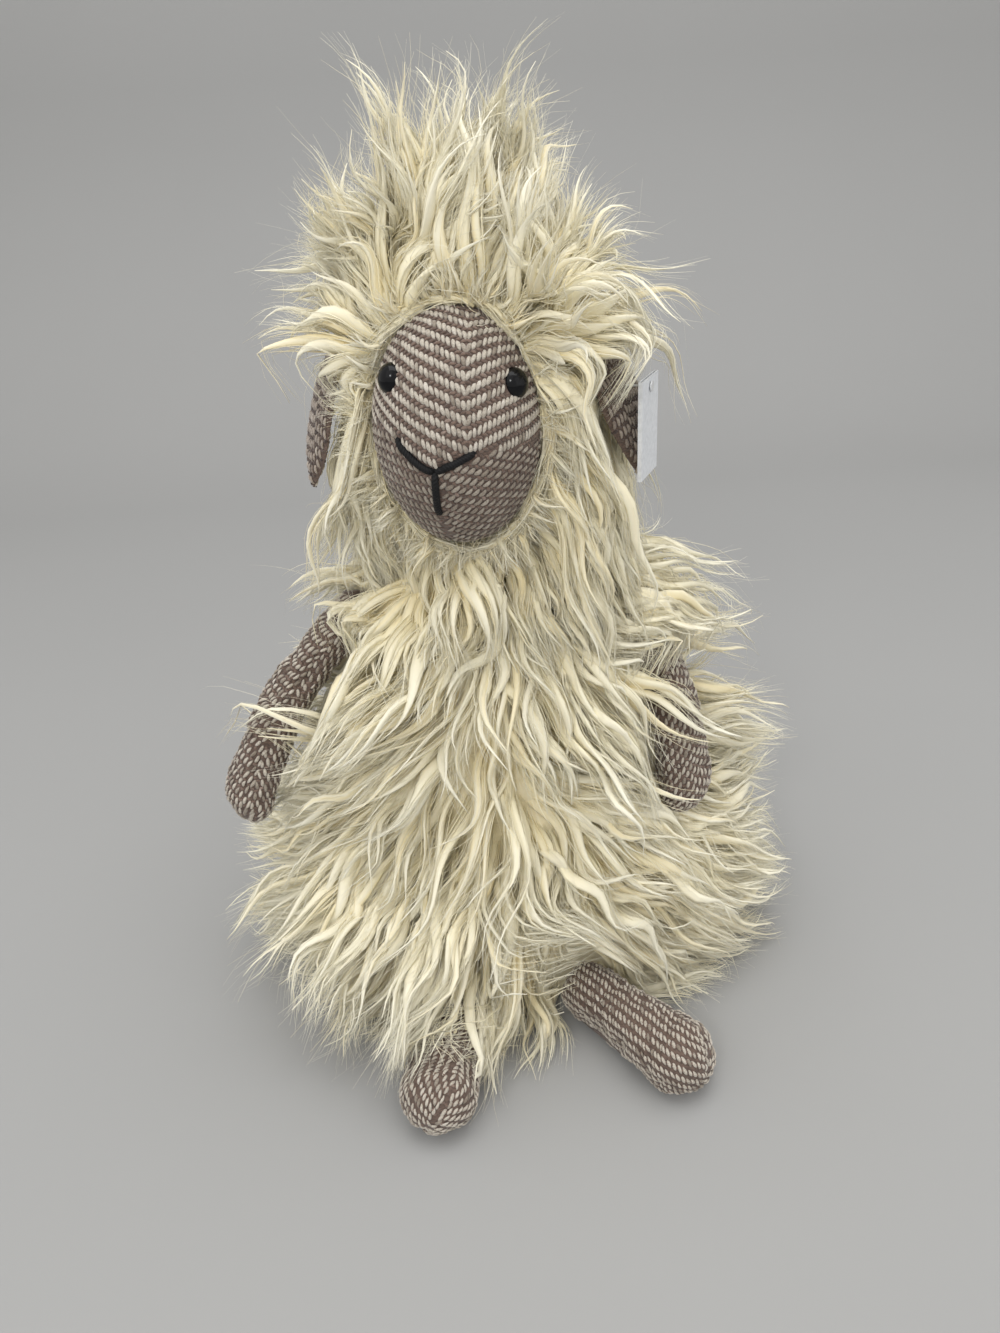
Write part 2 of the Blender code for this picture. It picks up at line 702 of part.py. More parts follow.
def make_head_fur(head, parts, cutters, ear_room, looks):
    """The head's long hair in two halves, open round the face and over the neck."""
    outline = [(0, HAIR_BOTTOM + HAIR_HEIGHT)]
    for row in range(1, HAIR_ROWS + 1):
        share = 1 - row / HAIR_ROWS
        outline.append((smooth_at(HAIR_SHARES, share), HAIR_BOTTOM + share * HAIR_HEIGHT))
    outline.append((0, HAIR_BOTTOM))
    shape = Matrix.Translation((0, HAIR_SETBACK, 0)) @ Matrix.Diagonal(
        (HAIR_HALF_WIDTH, HAIR_HALF_DEPTH, 1, 1)
    )
    hair = head_piece(turned("hair_form", outline, HAIR_SIDES, cutters), head)
    tufted(hair, HEAD_TUFTS, HEAD_TIER, HEAD_TUFT_DEPTH)
    hair.data.transform(shape)
    skull = ellipsoid("skull_form", SKULL_CENTRE, SKULL_RADII, cutters, head)
    snout = ellipsoid("face_form", FACE_CENTRE, FACE_RADII, cutters, head)
    window_outline = rod_outline(1, 0, PILE_HALF_WIDTH)
    turn = Matrix.Rotation(math.pi / 2, 4, "X")
    oval = Matrix.Diagonal((FACE_RADII.x + GAP, FACE_RADII.z + GAP, 1, 1))
    window = head_piece(
        turned(
            "face_window", window_outline, FACE_SIDES, cutters,
            matrix=Matrix.Translation(FACE_CENTRE + Vector((0, GAP, 0))) @ turn, shape=oval,
        ),
        head,
    )
    socket = neck_room("hair_neck_room", Vector((0, 0, 0)), cutters, head)
    jaw = jaw_cone(cutters, head)
    far = HAIR_HALF_WIDTH + OVERRUN
    top = HAIR_BOTTOM + HAIR_HEIGHT + OVERRUN
    for side_name, side in SIDES.items():
        near, away = sorted((side * GAP / 2, -side * far))
        other_half = block(f"not_{side_name}", (near, -far, -far), (away, far, top), cutters, head)
        half = copy_of(hair, f"head_fur_{side_name}", parts)
        cut(half, skull, snout, window, socket, jaw, ear_room[side_name], other_half)
        dress(half, looks["pile"])


def make_mouth(head, parts, looks):
    """Two stitches that rise from under the nose, and one that runs down to the chin."""
    lift = THREAD_RADIUS + GAP
    clear = THREAD_RADIUS + GAP
    ends = {
        "left": ((clear, -MOUTH_DROP + clear), (MOUTH_SPREAD, -MOUTH_DROP + MOUTH_RISE)),
        "right": ((-clear, -MOUTH_DROP + clear), (-MOUTH_SPREAD, -MOUTH_DROP + MOUTH_RISE)),
        "center": ((0, -MOUTH_DROP - clear), (0, -MOUTH_DROP - CHIN_STITCH)),
    }
    for label, (start, end) in ends.items():
        curve = bpy.data.curves.new(f"mouth_stitch_{label}", "CURVE")
        curve.dimensions = "3D"
        curve.bevel_depth = THREAD_RADIUS
        curve.bevel_resolution = THREAD_ROUNDNESS
        curve.use_fill_caps = True
        line = curve.splines.new("POLY")
        line.points.add(STITCH_POINTS - 1)
        for index in range(STITCH_POINTS):
            share = index / (STITCH_POINTS - 1)
            x = start[0] + (end[0] - start[0]) * share
            z = start[1] + (end[1] - start[1]) * share
            line.points[index].co = (*face_point(x, z, lift)[0], 1)
        stitch = bpy.data.objects.new(f"mouth_stitch_{label}", curve)
        parts.objects.link(stitch)
        curve.materials.append(looks["thread"])
        head_piece(stitch, head)


def leaf_half_width(share):
    """The ear's half width along its length, from the sewn root to the rounded tip."""
    root = EAR_ROOT_SHARE * (1 - share) ** LEAF_ROOT_FADE
    swell = math.sin(math.pi * share ** LEAF_FULLNESS) ** LEAF_ROUNDNESS
    return EAR_WIDTH / 2 * max(root, swell)


def ear_layer(name, frame, outward, head, parts, material):
    """One layer of an ear's cloth, cupped across its width."""
    mesh = bpy.data.meshes.new(name)
    work = bmesh.new()
    bmesh.ops.create_grid(work, x_segments=EAR_COLUMNS, y_segments=EAR_ROWS, size=1)
    tip = 1 - EAR_ROOT_SHARE ** 2 / 2
    tail = EAR_CUP + EAR_CLOTH
    for vert in work.verts:
        across = vert.co.x
        share = (vert.co.y + 1) / 2
        half = leaf_half_width(share * tip)
        bulge = EAR_CUP * math.sin(math.pi * share) * (1 - across ** 2)
        along = share * (EAR_LENGTH + tail) - tail
        vert.co = (across * half, outward * GAP / 2 - bulge, along)
    work.to_mesh(mesh)
    work.free()
    layer = add_object(name, mesh, parts, frame)
    head_piece(layer, head)
    cloth = layer.modifiers.new("cloth", "SOLIDIFY")
    cloth.thickness = EAR_CLOTH
    cloth.offset = 1 if layer.data.polygons[0].normal.y * outward > 0 else -1
    dress(layer, material)
    return layer


def fastener_frame():
    """Where the tag's fastener goes through the left ear: Z is level and points away from the head."""
    frame = ear_frame("left")
    place = frame @ Vector((0, -EAR_CUP, TAG_ALONG_EAR))
    heading = EAR_HEADING + TAG_TURN
    out = Vector((math.sin(heading), -math.cos(heading), 0))
    axis = out.cross(UP)
    turn = Matrix((axis, UP, out)).transposed()
    return Matrix.Translation(place) @ turn.to_4x4()


def tag_stack():
    """Distances out from the ear's middle: the back cap, the card's two faces and the front cap."""
    lean = TAG_HEIGHT * math.cos(EAR_DROP) - EAR_CUP
    back = -(2 * EAR_CLOTH + 2 * GAP) / math.sin(EAR_DROP) - FASTENER_HEAD * math.cos(EAR_DROP)
    card_in = EAR_CLOTH + lean + 2 * GAP
    card_out = card_in + 2 * TAG_CARD + TAG_FOLD
    return back, card_in, card_out, card_out + GAP


def make_ears(head, parts, cutters, looks):
    """Both ears, the blank tag and its fastener. Returns the room each ear needs in the hair."""
    room = {}
    layers = {}
    for side_name in SIDES:
        frame = ear_frame(side_name)
        for outward, kind in ((-1, "outer"), (1, "lining")):
            name = f"ear_{side_name}_{kind}"
            layers[name] = ear_layer(name, frame, outward, head, parts, looks["ear"])
        half = EAR_CUP + EAR_CLOTH + 2 * GAP
        room[side_name] = sweep_room(
            f"ear_{side_name}_room", frame, EAR_LENGTH + GAP, half, half, EAR_WIDTH + 2 * GAP,
            (0, EAR_LIFT), cutters, head,
        )
    back, card_in, card_out, front = tag_stack()
    place = fastener_frame()
    outline = [
        (0, front + FASTENER_CAP), (FASTENER_HEAD, front + FASTENER_CAP), (FASTENER_HEAD, front),
        (FASTENER_RADIUS, front), (FASTENER_RADIUS, back), (FASTENER_HEAD, back),
        (FASTENER_HEAD, back - FASTENER_CAP), (0, back - FASTENER_CAP),
    ]
    fastener = turned("tag_fastener", outline, FASTENER_SIDES, parts, matrix=place)
    dress(head_piece(fastener, head), looks["nylon"])
    bore = rod_outline(FASTENER_RADIUS + GAP, back - FASTENER_CAP, front)
    pin_hole = head_piece(turned("ear_pin_hole", bore, FASTENER_SIDES, cutters, matrix=place), head)
    cut(layers["ear_left_outer"], pin_hole)
    cut(layers["ear_left_lining"], pin_hole)
    make_tag(head, place, card_in, card_out, parts, cutters, looks)
    return room


def make_tag(head, place, card_in, card_out, parts, cutters, looks):
    """The folded blank card that hangs on the fastener."""
    top = TAG_HOLE_DROP
    low = top - TAG_HEIGHT
    half = TAG_WIDTH / 2
    card = block("swing_tag", (-half, low, card_in), (half, top, card_out), parts)
    card.matrix_basis = place
    head_piece(card, head)
    slit = block(
        "tag_slit", (-half - OVERRUN, low - OVERRUN, card_in + TAG_CARD),
        (half - TAG_CARD, top + OVERRUN, card_out - TAG_CARD), cutters,
    )
    slit.matrix_basis = place
    head_piece(slit, head)
    bore = rod_outline(TAG_HOLE, card_in - OVERRUN, card_out + OVERRUN)
    hole = head_piece(turned("tag_hole", bore, FASTENER_SIDES, cutters, matrix=place), head)
    cut(card, slit, hole)
    card.data.materials.append(looks["paper"])


def make_limbs(parts, cutters, looks):
    """Both arms and both legs. The legs are flat where they lie on the floor."""
    reach = PILE_HALF_WIDTH + LEG_LENGTH
    floor = block("floor_cut", (-reach, -reach, -reach), (reach, reach, 0), cutters)
    for side_name in SIDES:
        make_limb(
            f"arm_{side_name}", arm_frame(side_name), ARM_SHARES, ARM_LENGTH, ARM_RADIUS, parts, looks
        )
        leg = make_limb(
            f"leg_{side_name}", leg_frame(side_name), LEG_SHARES, LEG_LENGTH, LEG_RADIUS, parts, looks
        )
        cut(leg, floor)


def main():
    """Builds the sheep."""
    clear_scene()
    parts = new_collection("plush_sheep")
    cutters = new_collection("cutters")
    looks = {
        "pile": make_material("ivory_pile", IVORY_PILE),
        "tweed": make_material("woven_tweed", WOVEN_TWEED),
        "ear": make_material("ear_tweed", EAR_TWEED),
        "fibre": make_material("polyester_fibre", POLYESTER_FIBRE),
        "pouch": make_material("pouch_cloth", POUCH_CLOTH),
        "beans": make_material("plastic_beans", PLASTIC_BEANS),
        "eye": make_material("black_plastic", BLACK_PLASTIC),
        "washer": make_material("washer_nylon", CLEAR_NYLON),
        "nylon": make_material("fastener_nylon", CLEAR_NYLON),
        "thread": make_material("black_thread", BLACK_THREAD),
        "paper": make_material("tag_paper", TAG_PAPER),
    }
    head = bpy.data.objects.new("head_frame", None)
    parts.objects.link(head)
    head.location = neck_point()
    head.rotation_euler = (0, 0, HEAD_TURN)
    bpy.context.view_layer.update()

    make_body(parts, cutters, looks)
    make_neck(parts, looks)
    ear_room = make_ears(head, parts, cutters, looks)
    holes = {}
    pockets = []
    for side_name in SIDES:
        hole, pocket = make_eye(side_name, head, parts, cutters, looks)
        holes[side_name] = hole
        pockets.append(pocket)
    make_face(head, parts, cutters, holes, looks)
    make_head_filling(head, parts, cutters, pockets, looks)
    make_head_fur(head, parts, cutters, ear_room, looks)
    make_mouth(head, parts, looks)
    make_limbs(parts, cutters, looks)

    for cutter in cutters.objects:
        cutter.hide_render = True
        cutter.display_type = "WIRE"


main()
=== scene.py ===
"""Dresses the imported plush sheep: long wavy fleece, woven tweed face and limbs, eyes, mouth and tag.

Every piece is in metres, in the frame's own coordinates: +Z is up and the sheep faces -Y.
"""

import json
import logging
import math
from dataclasses import dataclass, field
from enum import Enum
from functools import lru_cache
from itertools import product
from typing import Callable, Dict, List, Optional, Sequence, Tuple

import bmesh
import bpy
import numpy as np
from mathutils import Matrix, Vector
from mathutils.bvhtree import BVHTree


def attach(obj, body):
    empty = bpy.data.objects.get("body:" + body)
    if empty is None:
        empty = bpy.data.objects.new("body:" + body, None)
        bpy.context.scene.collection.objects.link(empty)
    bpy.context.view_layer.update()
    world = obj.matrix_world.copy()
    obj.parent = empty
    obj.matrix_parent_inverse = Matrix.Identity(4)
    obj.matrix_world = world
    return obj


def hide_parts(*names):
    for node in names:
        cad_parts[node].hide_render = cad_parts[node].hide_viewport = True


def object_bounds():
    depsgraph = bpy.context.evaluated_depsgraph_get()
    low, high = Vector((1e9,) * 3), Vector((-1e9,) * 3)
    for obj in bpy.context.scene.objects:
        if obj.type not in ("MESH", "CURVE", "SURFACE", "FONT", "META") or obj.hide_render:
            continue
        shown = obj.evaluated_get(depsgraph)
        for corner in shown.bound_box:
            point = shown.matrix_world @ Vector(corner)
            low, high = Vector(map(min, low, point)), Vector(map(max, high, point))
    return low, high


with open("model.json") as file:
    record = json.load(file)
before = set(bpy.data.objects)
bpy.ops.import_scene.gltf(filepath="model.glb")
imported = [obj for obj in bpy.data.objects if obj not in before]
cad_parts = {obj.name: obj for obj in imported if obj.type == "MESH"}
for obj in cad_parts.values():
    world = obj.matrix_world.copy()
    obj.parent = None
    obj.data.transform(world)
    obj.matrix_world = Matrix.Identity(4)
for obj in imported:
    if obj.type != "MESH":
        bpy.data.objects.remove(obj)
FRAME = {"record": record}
CAD_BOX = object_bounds()

LOG = logging.getLogger("sheep")
MM = 0.001
Array = np.ndarray
Colour = Tuple[float, float, float]
Column = Tuple[Array, Array, float, Array, float]
Clearance = Callable[[Array, Array], Array]
Socket = bpy.types.NodeSocket
UP = np.array((0.0, 0.0, 1.0))
GOLDEN_TURN = math.pi * (3.0 - math.sqrt(5.0))
FLOOR_GAP = 0.3 * MM
BAKE_MAP = "OFBake"


class Side(Enum):
    """The sheep's own left and right, with the sign of X on that side."""

    LEFT = 1
    RIGHT = -1

    @property
    def label(self) -> str:
        """The side's word in a node's name."""
        return self.name.lower()


class Tone(Enum):
    """The dyed yarns of the cloth."""

    CREAM = "cream"
    TAUPE = "taupe"
    DARK = "dark"
    GREY = "grey"


# Helpers on arrays of points


def unit(vectors: Array) -> Array:
    """Scales vectors, with X, Y, Z on the last axis, to length one."""
    size = np.linalg.norm(vectors, axis=-1, keepdims=True)
    return vectors / np.maximum(size, 1e-12)


def smoothstep(low: float, high: float, value: Array) -> Array:
    """A smooth rise from 0 at low to 1 at high."""
    t = np.clip((value - low) / (high - low), 0.0, 1.0)
    return t * t * (3.0 - 2.0 * t)


def soft_noise(points: Array, size: float, seed: int) -> Array:
    """Smooth noise in space, from a few sine waves in mixed directions.

    Args:
        points: Points, with X, Y, Z on the last axis.
        size: The rough distance between one bump and the next.
        seed: Which pattern of noise.

    Returns:
        One value from about -1 to 1 for each point.
    """
    draw = np.random.default_rng(seed)
    total = np.zeros(points.shape[:-1])
    waves = 5
    for _ in range(waves):
        direction = unit(draw.normal(size=3))
        pitch = 2.0 * math.pi / (size * draw.uniform(0.7, 1.6))
        total += np.sin(points @ direction * pitch + draw.uniform(0.0, 2.0 * math.pi))
    return total / math.sqrt(waves)


def frame_across(tangents: Array, hint: Array) -> Tuple[Array, Array]:
    """Two unit directions across each tangent and each other, the first of them near the hint."""
    first = unit(hint - np.sum(hint * tangents, axis=-1, keepdims=True) * tangents)
    return first, np.cross(tangents, first)


def tangents_of(paths: Array) -> Array:
    """Unit tangents of paths given as (count, points, 3)."""
    return unit(np.gradient(paths, axis=1))


def stretched(paths: Array, trim: Array) -> Array:
    """Cuts or lengthens each line to a share of its length.

    Args:
        paths: Lines as (count, points, 3).
        trim: The share of each line to keep, which may be a little over one.

    Returns:
        Lines with the same number of points.
    """
    count, length, _ = paths.shape
    place = np.linspace(0.0, 1.0, length)[None, :] * trim[:, None] * (length - 1)
    low = np.clip(np.floor(place).astype(int), 0, length - 2)
    part = (place - low)[..., None]
    rows = np.arange(count)[:, None]
    return paths[rows, low] * (1.0 - part) + paths[rows, low + 1] * part


def eased(paths: Array, passes: int) -> Array:
    """Softens the kinks of lines and keeps their ends.

    Args:
        paths: Lines as (count, points, 3).
        passes: How many times to draw each point toward its neighbours.

    Returns:
        The softened lines.
    """
    for _ in range(passes):
        inner = 0.5 * paths[:, 1:-1] + 0.25 * (paths[:, :-2] + paths[:, 2:])
        paths = np.concatenate([paths[:, :1], inner, paths[:, -1:]], axis=1)
    return paths


def drift(points: Array, size: float, seed: int) -> Array:
    """Soft noise along X, Y and Z, from three seeds in a row."""
    return np.stack([soft_noise(points, size, seed + axis) for axis in range(3)], axis=-1)


def ring(count: int) -> Array:
    """Even angles round a full turn."""
    return np.linspace(0.0, 2.0 * math.pi, count, endpoint=False)


def arc_of(line: Array) -> Array:
    """The length along a line up to each of its points."""
    return np.concatenate([[0.0], np.cumsum(np.linalg.norm(np.diff(line, axis=0), axis=1))])


def sampled(places: Array, arc: Array, values: Array) -> Array:
    """Rows of values along a line, at places given as lengths along it."""
    return np.stack([np.interp(places, arc, values[:, axis]) for axis in range(3)], axis=-1)


def grown(
    point: Array, way: Array, lengths: Array, steps: int, bend: Callable[[Array, float], Array],
    floor: float = -1.0, least_rise: float = 0.02,
) -> Array:
    """Follows lines from their roots, with a turn at each step.

    Args:
        point: Where the lines start.
        way: Their first directions.
        lengths: Their lengths.
        steps: How many points each line has.
        bend: Gives the turn, from the lines' ends and the share of the steps that is done.
        floor: The height below which a line stops going down, or by default none.
        least_rise: How steeply it rises there.

    Returns:
        The lines as (count, points, 3).
    """
    line = [point]
    for step in range(steps - 1):
        way = unit(way + bend(point, step / steps))
        point = point + way * (lengths / (steps - 1))[:, None]
        low = point[:, 2] < floor
        way[low, 2] = np.maximum(way[low, 2], least_rise)
        way = unit(way)
        line.append(point)
    return np.stack(line, axis=1)


def capped(grid: Array) -> Array:
    """Closes a tube's grid with a row at each end that is drawn to that end's middle."""
    first, last = (np.broadcast_to(row.mean(axis=0), row.shape)[None] for row in (grid[0], grid[-1]))
    return np.concatenate([first, grid, last])


def panel_column(
    line: Array, normals: Array, phase: float, inside: Array, lean: float, least: int = 4
) -> List[Column]:
    """A column cut to its part on the panel, in a list that is empty if that is too short."""
    rows = np.nonzero(inside)[0]
    if len(rows) < least:
        return []
    low, high = rows[0], rows[-1] + 1
    return [(line[low:high], normals[low:high], phase, inside[low:high], lean)]


def mesh_points(mesh: bpy.types.Mesh) -> Array:
    """A mesh's vertices as rows of X, Y, Z."""
    flat = np.empty(len(mesh.vertices) * 3)
    mesh.vertices.foreach_get("co", flat)
    return flat.reshape(-1, 3)


def node_points(name: str) -> Array:
    """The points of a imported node, at rest."""
    return mesh_points(bpy.data.objects[name].data)


def joint_named(name: str) -> Dict:
    """The record's joint of that name."""
    for joint in FRAME["record"]["behaviour"]["joints"]:
        if joint["name"] == name:
            return joint
    raise KeyError(name)


# Mesh making


@dataclass
class MeshStock:
    """Faces to become one mesh: vertices, four or three vertex numbers a face, and marks.

    The marks are the tone and the share along the fibre for each vertex.
    """

    points: Array
    quads: Array
    marks: Array
    triangles: Array = field(default_factory=lambda: np.zeros((0, 3), int))

    def mesh(self, name: str) -> bpy.types.Mesh:
        """Makes the Blender mesh, smooth and above the floor, with its marks as a UV map."""
        points = self.points.astype(np.float32)
        points[:, 2] = np.maximum(points[:, 2], FLOOR_GAP)
        loops = np.concatenate([self.quads.ravel(), self.triangles.ravel()]).astype(np.int32)
        sizes = np.concatenate([np.full(len(self.quads), 4), np.full(len(self.triangles), 3)])
        mesh = bpy.data.meshes.new(name)
        mesh.vertices.add(len(points))
        mesh.vertices.foreach_set("co", points.ravel())
        mesh.loops.add(len(loops))
        mesh.loops.foreach_set("vertex_index", loops)
        mesh.polygons.add(len(sizes))
        mesh.polygons.foreach_set("loop_start", np.concatenate([[0], np.cumsum(sizes)[:-1]]).astype(np.int32))
        mesh.update(calc_edges=True)
        mesh.polygons.foreach_set("use_smooth", np.ones(len(sizes), bool))
        layer = mesh.uv_layers.new(name=BAKE_MAP)
        layer.data.foreach_set("uv", self.marks[loops].astype(np.float32).ravel())
        mesh.validate()
        return mesh


def merged(stocks: Sequence[MeshStock]) -> MeshStock:
    """Puts several batches of faces into one."""
    starts = np.cumsum([0] + [len(stock.points) for stock in stocks])
    return MeshStock(
        np.concatenate([stock.points for stock in stocks]),
        np.concatenate([stock.quads + start for stock, start in zip(stocks, starts)]),
        np.concatenate([stock.marks for stock in stocks]),
        np.concatenate([stock.triangles + start for stock, start in zip(stocks, starts)]),
    )


def sweep(paths: Array, wide: Array, thin: Array, across: Array, sides: int, tone: Array) -> MeshStock:
    """Closed tubes along many paths at once.

    Args:
        paths: Centre lines as (count, points, 3).
        wide: Half width at each point, as (count, points).
        thin: Half thickness at each point, as (count, points).
        across: The direction of the width, as (count, points, 3).
        sides: Corners round each tube.
        tone: One value a tube, from 0 to 1.

    Returns:
        The tubes' faces, with both ends closed.
    """
    count, length, _ = paths.shape
    first, second = frame_across(tangents_of(paths), across)
    angle = np.arange(sides) * 2.0 * math.pi / sides
    cos = np.cos(angle)[None, None, :, None]
    sin = np.sin(angle)[None, None, :, None]
    rings = (
        paths[:, :, None, :]
        + first[:, :, None, :] * wide[:, :, None, None] * cos
        + second[:, :, None, :] * thin[:, :, None, None] * sin
    )
    number = np.arange(count * length * sides).reshape(count, length, sides)
    ahead = np.roll(number, -1, axis=2)
    quads = np.stack([number[:, :-1], ahead[:, :-1], ahead[:, 1:], number[:, 1:]], axis=-1)
    share = np.broadcast_to(np.linspace(0.0, 1.0, length)[None, :, None], number.shape)
    tones = np.broadcast_to(tone[:, None, None], number.shape)
    marks = np.stack([tones.ravel(), share.ravel()], axis=-1)
    caps = []
    for step in range(1, sides - 1):
        start = number[:, 0]
        end = number[:, -1]
        caps.append(np.stack([start[:, 0], start[:, step + 1], start[:, step]], axis=-1))
        caps.append(np.stack([end[:, 0], end[:, step], end[:, step + 1]], axis=-1))
    return MeshStock(rings.reshape(-1, 3), quads.reshape(-1, 4), marks, np.concatenate(caps))


def add_object(name: str, data: object) -> bpy.types.Object:
    """Makes an object and links it to the scene."""
    made = bpy.data.objects.new(name, data)
    bpy.context.scene.collection.objects.link(made)
    return made


def add_piece(
    name: str, mesh: bpy.types.Mesh, body: str, finish: object, replaces: Sequence[str] = ()
) -> bpy.types.Object:
    """Links a piece to the scene and hangs it on a body of the frame.

    Args:
        name: The piece's name.
        mesh: Its mesh, in world coordinates.
        body: The body that carries it.
        finish: What it is made of.
        replaces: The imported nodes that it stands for.

    Returns:
        The new object.
    """
    mesh.materials.clear()
    mesh.materials.append(material_of(finish))
    piece = add_object(name, mesh)
    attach(piece, body)
    if replaces:
        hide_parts(*replaces)
    LOG.info("%s: %d faces on %s", name, len(mesh.polygons), body)
    return piece


def add_floats(prefix: str, body: str, tones: Sequence[Tone], stocks: Sequence[MeshStock]) -> None:
    """Adds the yarn floats of each tone as one piece.

    Args:
        prefix: The start of the pieces' names.
        body: The body that carries them.
        tones: The tone of each piece.
        stocks: The faces of each piece.
    """
    for tone, stock in zip(tones, stocks):
        name = f"{prefix}_{tone.value}_floats"
        add_piece(name, stock.mesh(name), body, YARNS[tone])


# Finishes


class NodeCanvas:
    """A new material with its Principled shader, and short ways to add nodes."""

    def __init__(self, name: str) -> None:
        """Starts a material that has only its shader and output."""
        self.material = bpy.data.materials.new(name)
        self.material.use_nodes = True
        self.tree = self.material.node_tree
        self.shader = self.tree.nodes["Principled BSDF"]

    def node(self, kind: str, inputs: Dict[object, object], **settings: str) -> bpy.types.Node:
        """Adds a node.

        Args:
            kind: The node's type.
            inputs: What goes into it, as for feed.
            settings: Attributes to set on it.

        Returns:
            The node.
        """
        made = self.tree.nodes.new(kind)
        for key, value in settings.items():
            setattr(made, key, value)
        self.feed(made, inputs)
        return made

    def feed(self, node: bpy.types.Node, inputs: Dict[object, object]) -> None:
        """Joins each input of a node to a socket, or gives it a plain value."""
        for key, value in inputs.items():
            if isinstance(value, Socket):
                self.tree.links.new(value, node.inputs[key])
            else:
                node.inputs[key].default_value = value

    def paint(self, colour: Socket, **values: float) -> None:
        """Gives the shader its colour, and plain values by names with underscores for spaces."""
        self.feed(self.shader, {"Base Color": colour})
        self.feed(self.shader, {key.replace("_", " "): value for key, value in values.items()})

    def ramp(self, source: Socket, *stops: Tuple[float, Colour]) -> Socket:
        """A colour ramp.

        Args:
            source: The value that drives it.
            stops: Places from 0 to 1, with a colour at each.

        Returns:
            The ramp's colour.
        """
        made = self.node("ShaderNodeValToRGB", {"Fac": source})
        elements = made.color_ramp.elements
        while len(elements) < len(stops):
            elements.new(0.5)
        for element, (place, colour) in zip(elements, stops):
            element.position = place
            element.color = (*colour, 1.0)
        return made.outputs["Color"]

    def place(self) -> Socket:
        """Places in the piece's own space."""
        return self.node("ShaderNodeTexCoord", {}).outputs["Object"]

    def noise(self, scale: float, detail: float) -> Socket:
        """Noise, from how many bumps a metre it has and how many finer layers."""
        inputs = {"Scale": scale, "Detail": detail, "Vector": self.place()}
        return self.node("ShaderNodeTexNoise", inputs).outputs["Fac"]

    def threads(self, pitch: float) -> Socket:
        """The height of slightly wavering level threads, from the pitch of one above the other."""
        inputs = {"Scale": 0.314 / pitch, "Distortion": 1.5, "Vector": self.place()}
        return self.node("ShaderNodeTexWave", inputs, wave_type="BANDS", bands_direction="Z").outputs["Fac"]

    def marks(self) -> Tuple[Socket, Socket]:
        """The tone and the share along the fibre, from the piece's UV map."""
        place = self.node("ShaderNodeUVMap", {}, uv_map=BAKE_MAP).outputs["UV"]
        parts = self.node("ShaderNodeSeparateXYZ", {"Vector": place}).outputs
        return parts["X"], parts["Y"]

    def bump(self, height: Socket, strength: float, distance: float) -> None:
        """Gives the shader a relief."""
        made = self.node("ShaderNodeBump", {"Strength": strength, "Distance": distance, "Height": height})
        self.feed(self.shader, {"Normal": made.outputs["Normal"]})

    def multiplied(self, first: Socket, second: Socket) -> Socket:
        """Multiplies two colours."""
        inputs = {0: 1.0, 6: first, 7: second}
        return self.node("ShaderNodeMix", inputs, data_type="RGBA", blend_type="MULTIPLY").outputs[2]


WHITE = (1.0, 1.0, 1.0)


@dataclass(frozen=True)
class FleeceFinish:
    """Silky long wool: darker and warmer at the root, paler toward the tip; the root's warm darker colour is
    partly the wool's own and partly painted shade, the warm bounced shade deep among the locks.
    """

    name: str
    root: Colour
    middle: Colour
    tip: Colour
    deep: Colour
    roughness: float = 0.55
    sheen: float = 0.12

    def build(self) -> bpy.types.Material:
        """Makes the material, coloured by each lock's tone and the share along it."""
        canvas = NodeCanvas(self.name)
        tone, share = canvas.marks()
        along = canvas.ramp(share, (0.0, self.root), (0.40, self.middle), (0.85, self.tip), (1.0, self.tip))
        # Low tones darken toward the dim tone and shade colour: random dim locks, and painted shade on the
        # sunk ridges of the cores.
        shade = canvas.ramp(tone, (0.0, self.deep), (0.45, WHITE), (1.0, WHITE))
        canvas.paint(
            canvas.multiplied(along, shade), Roughness=self.roughness,
            Sheen_Weight=self.sheen, Sheen_Roughness=0.45, Specular_IOR_Level=0.14,
        )
        return canvas.material


@dataclass(frozen=True)
class YarnFinish:
    """Spun yarn: a soft matt thread with small flecks of a second colour."""

    name: str
    base: Colour
    fleck: Colour
    shade: Colour
    roughness: float = 0.88
    sheen: float = 0.3
    fibre_gap: Colour = (0.72, 0.70, 0.68)

    def build(self) -> bpy.types.Material:
        """Makes the material, coloured by each float's tone and by its fibres."""
        canvas = NodeCanvas(self.name)
        stops = ((0.0, self.shade), (0.3, self.base), (0.9, self.base), (1.0, self.fleck))
        tone = canvas.ramp(canvas.marks()[0], *stops)
        fibre = canvas.ramp(canvas.noise(1400.0, 2.0), (0.35, self.fibre_gap), (0.6, WHITE))
        canvas.paint(
            canvas.multiplied(tone, fibre), Roughness=self.roughness,
            Sheen_Weight=self.sheen, Sheen_Roughness=0.5, Specular_IOR_Level=0.25,
        )
        canvas.bump(canvas.noise(2600.0, 2.0), 0.5, 0.3 * MM)
        return canvas.material


@dataclass(frozen=True)
class Relief:
    """How a surface stands up: noise of a scale and detail, or threads of a pitch."""

    strength: float
    depth: float
    scale: float = 0.0
    detail: float = 2.0
    pitch: float = 0.0

    def put_on(self, canvas: NodeCanvas) -> None:
        """Gives a material this relief."""
        height = canvas.threads(self.pitch) if self.pitch else canvas.noise(self.scale, self.detail)
        canvas.bump(height, self.strength, self.depth)


@dataclass(frozen=True)
class GrainFinish:
    """A surface mottled between two colours, with a fine relief."""

    name: str
    pale: Colour
    dark: Colour
    mottle: Tuple[float, float]
    relief: Optional[Relief] = None
    stops: Tuple[float, float] = (0.3, 0.7)
    roughness: float = 0.95
    sheen: float = 0.0
    gloss: float = 0.5

    def build(self) -> bpy.types.Material:
        """Makes the material, whose mottle is noise of a scale and detail."""
        canvas = NodeCanvas(self.name)
        low, high = self.stops
        colour = canvas.ramp(canvas.noise(*self.mottle), (low, self.dark), (high, self.pale))
        canvas.paint(colour, Roughness=self.roughness, Sheen_Weight=self.sheen, Specular_IOR_Level=self.gloss)
        if self.relief is not None:
            self.relief.put_on(canvas)
        return canvas.material


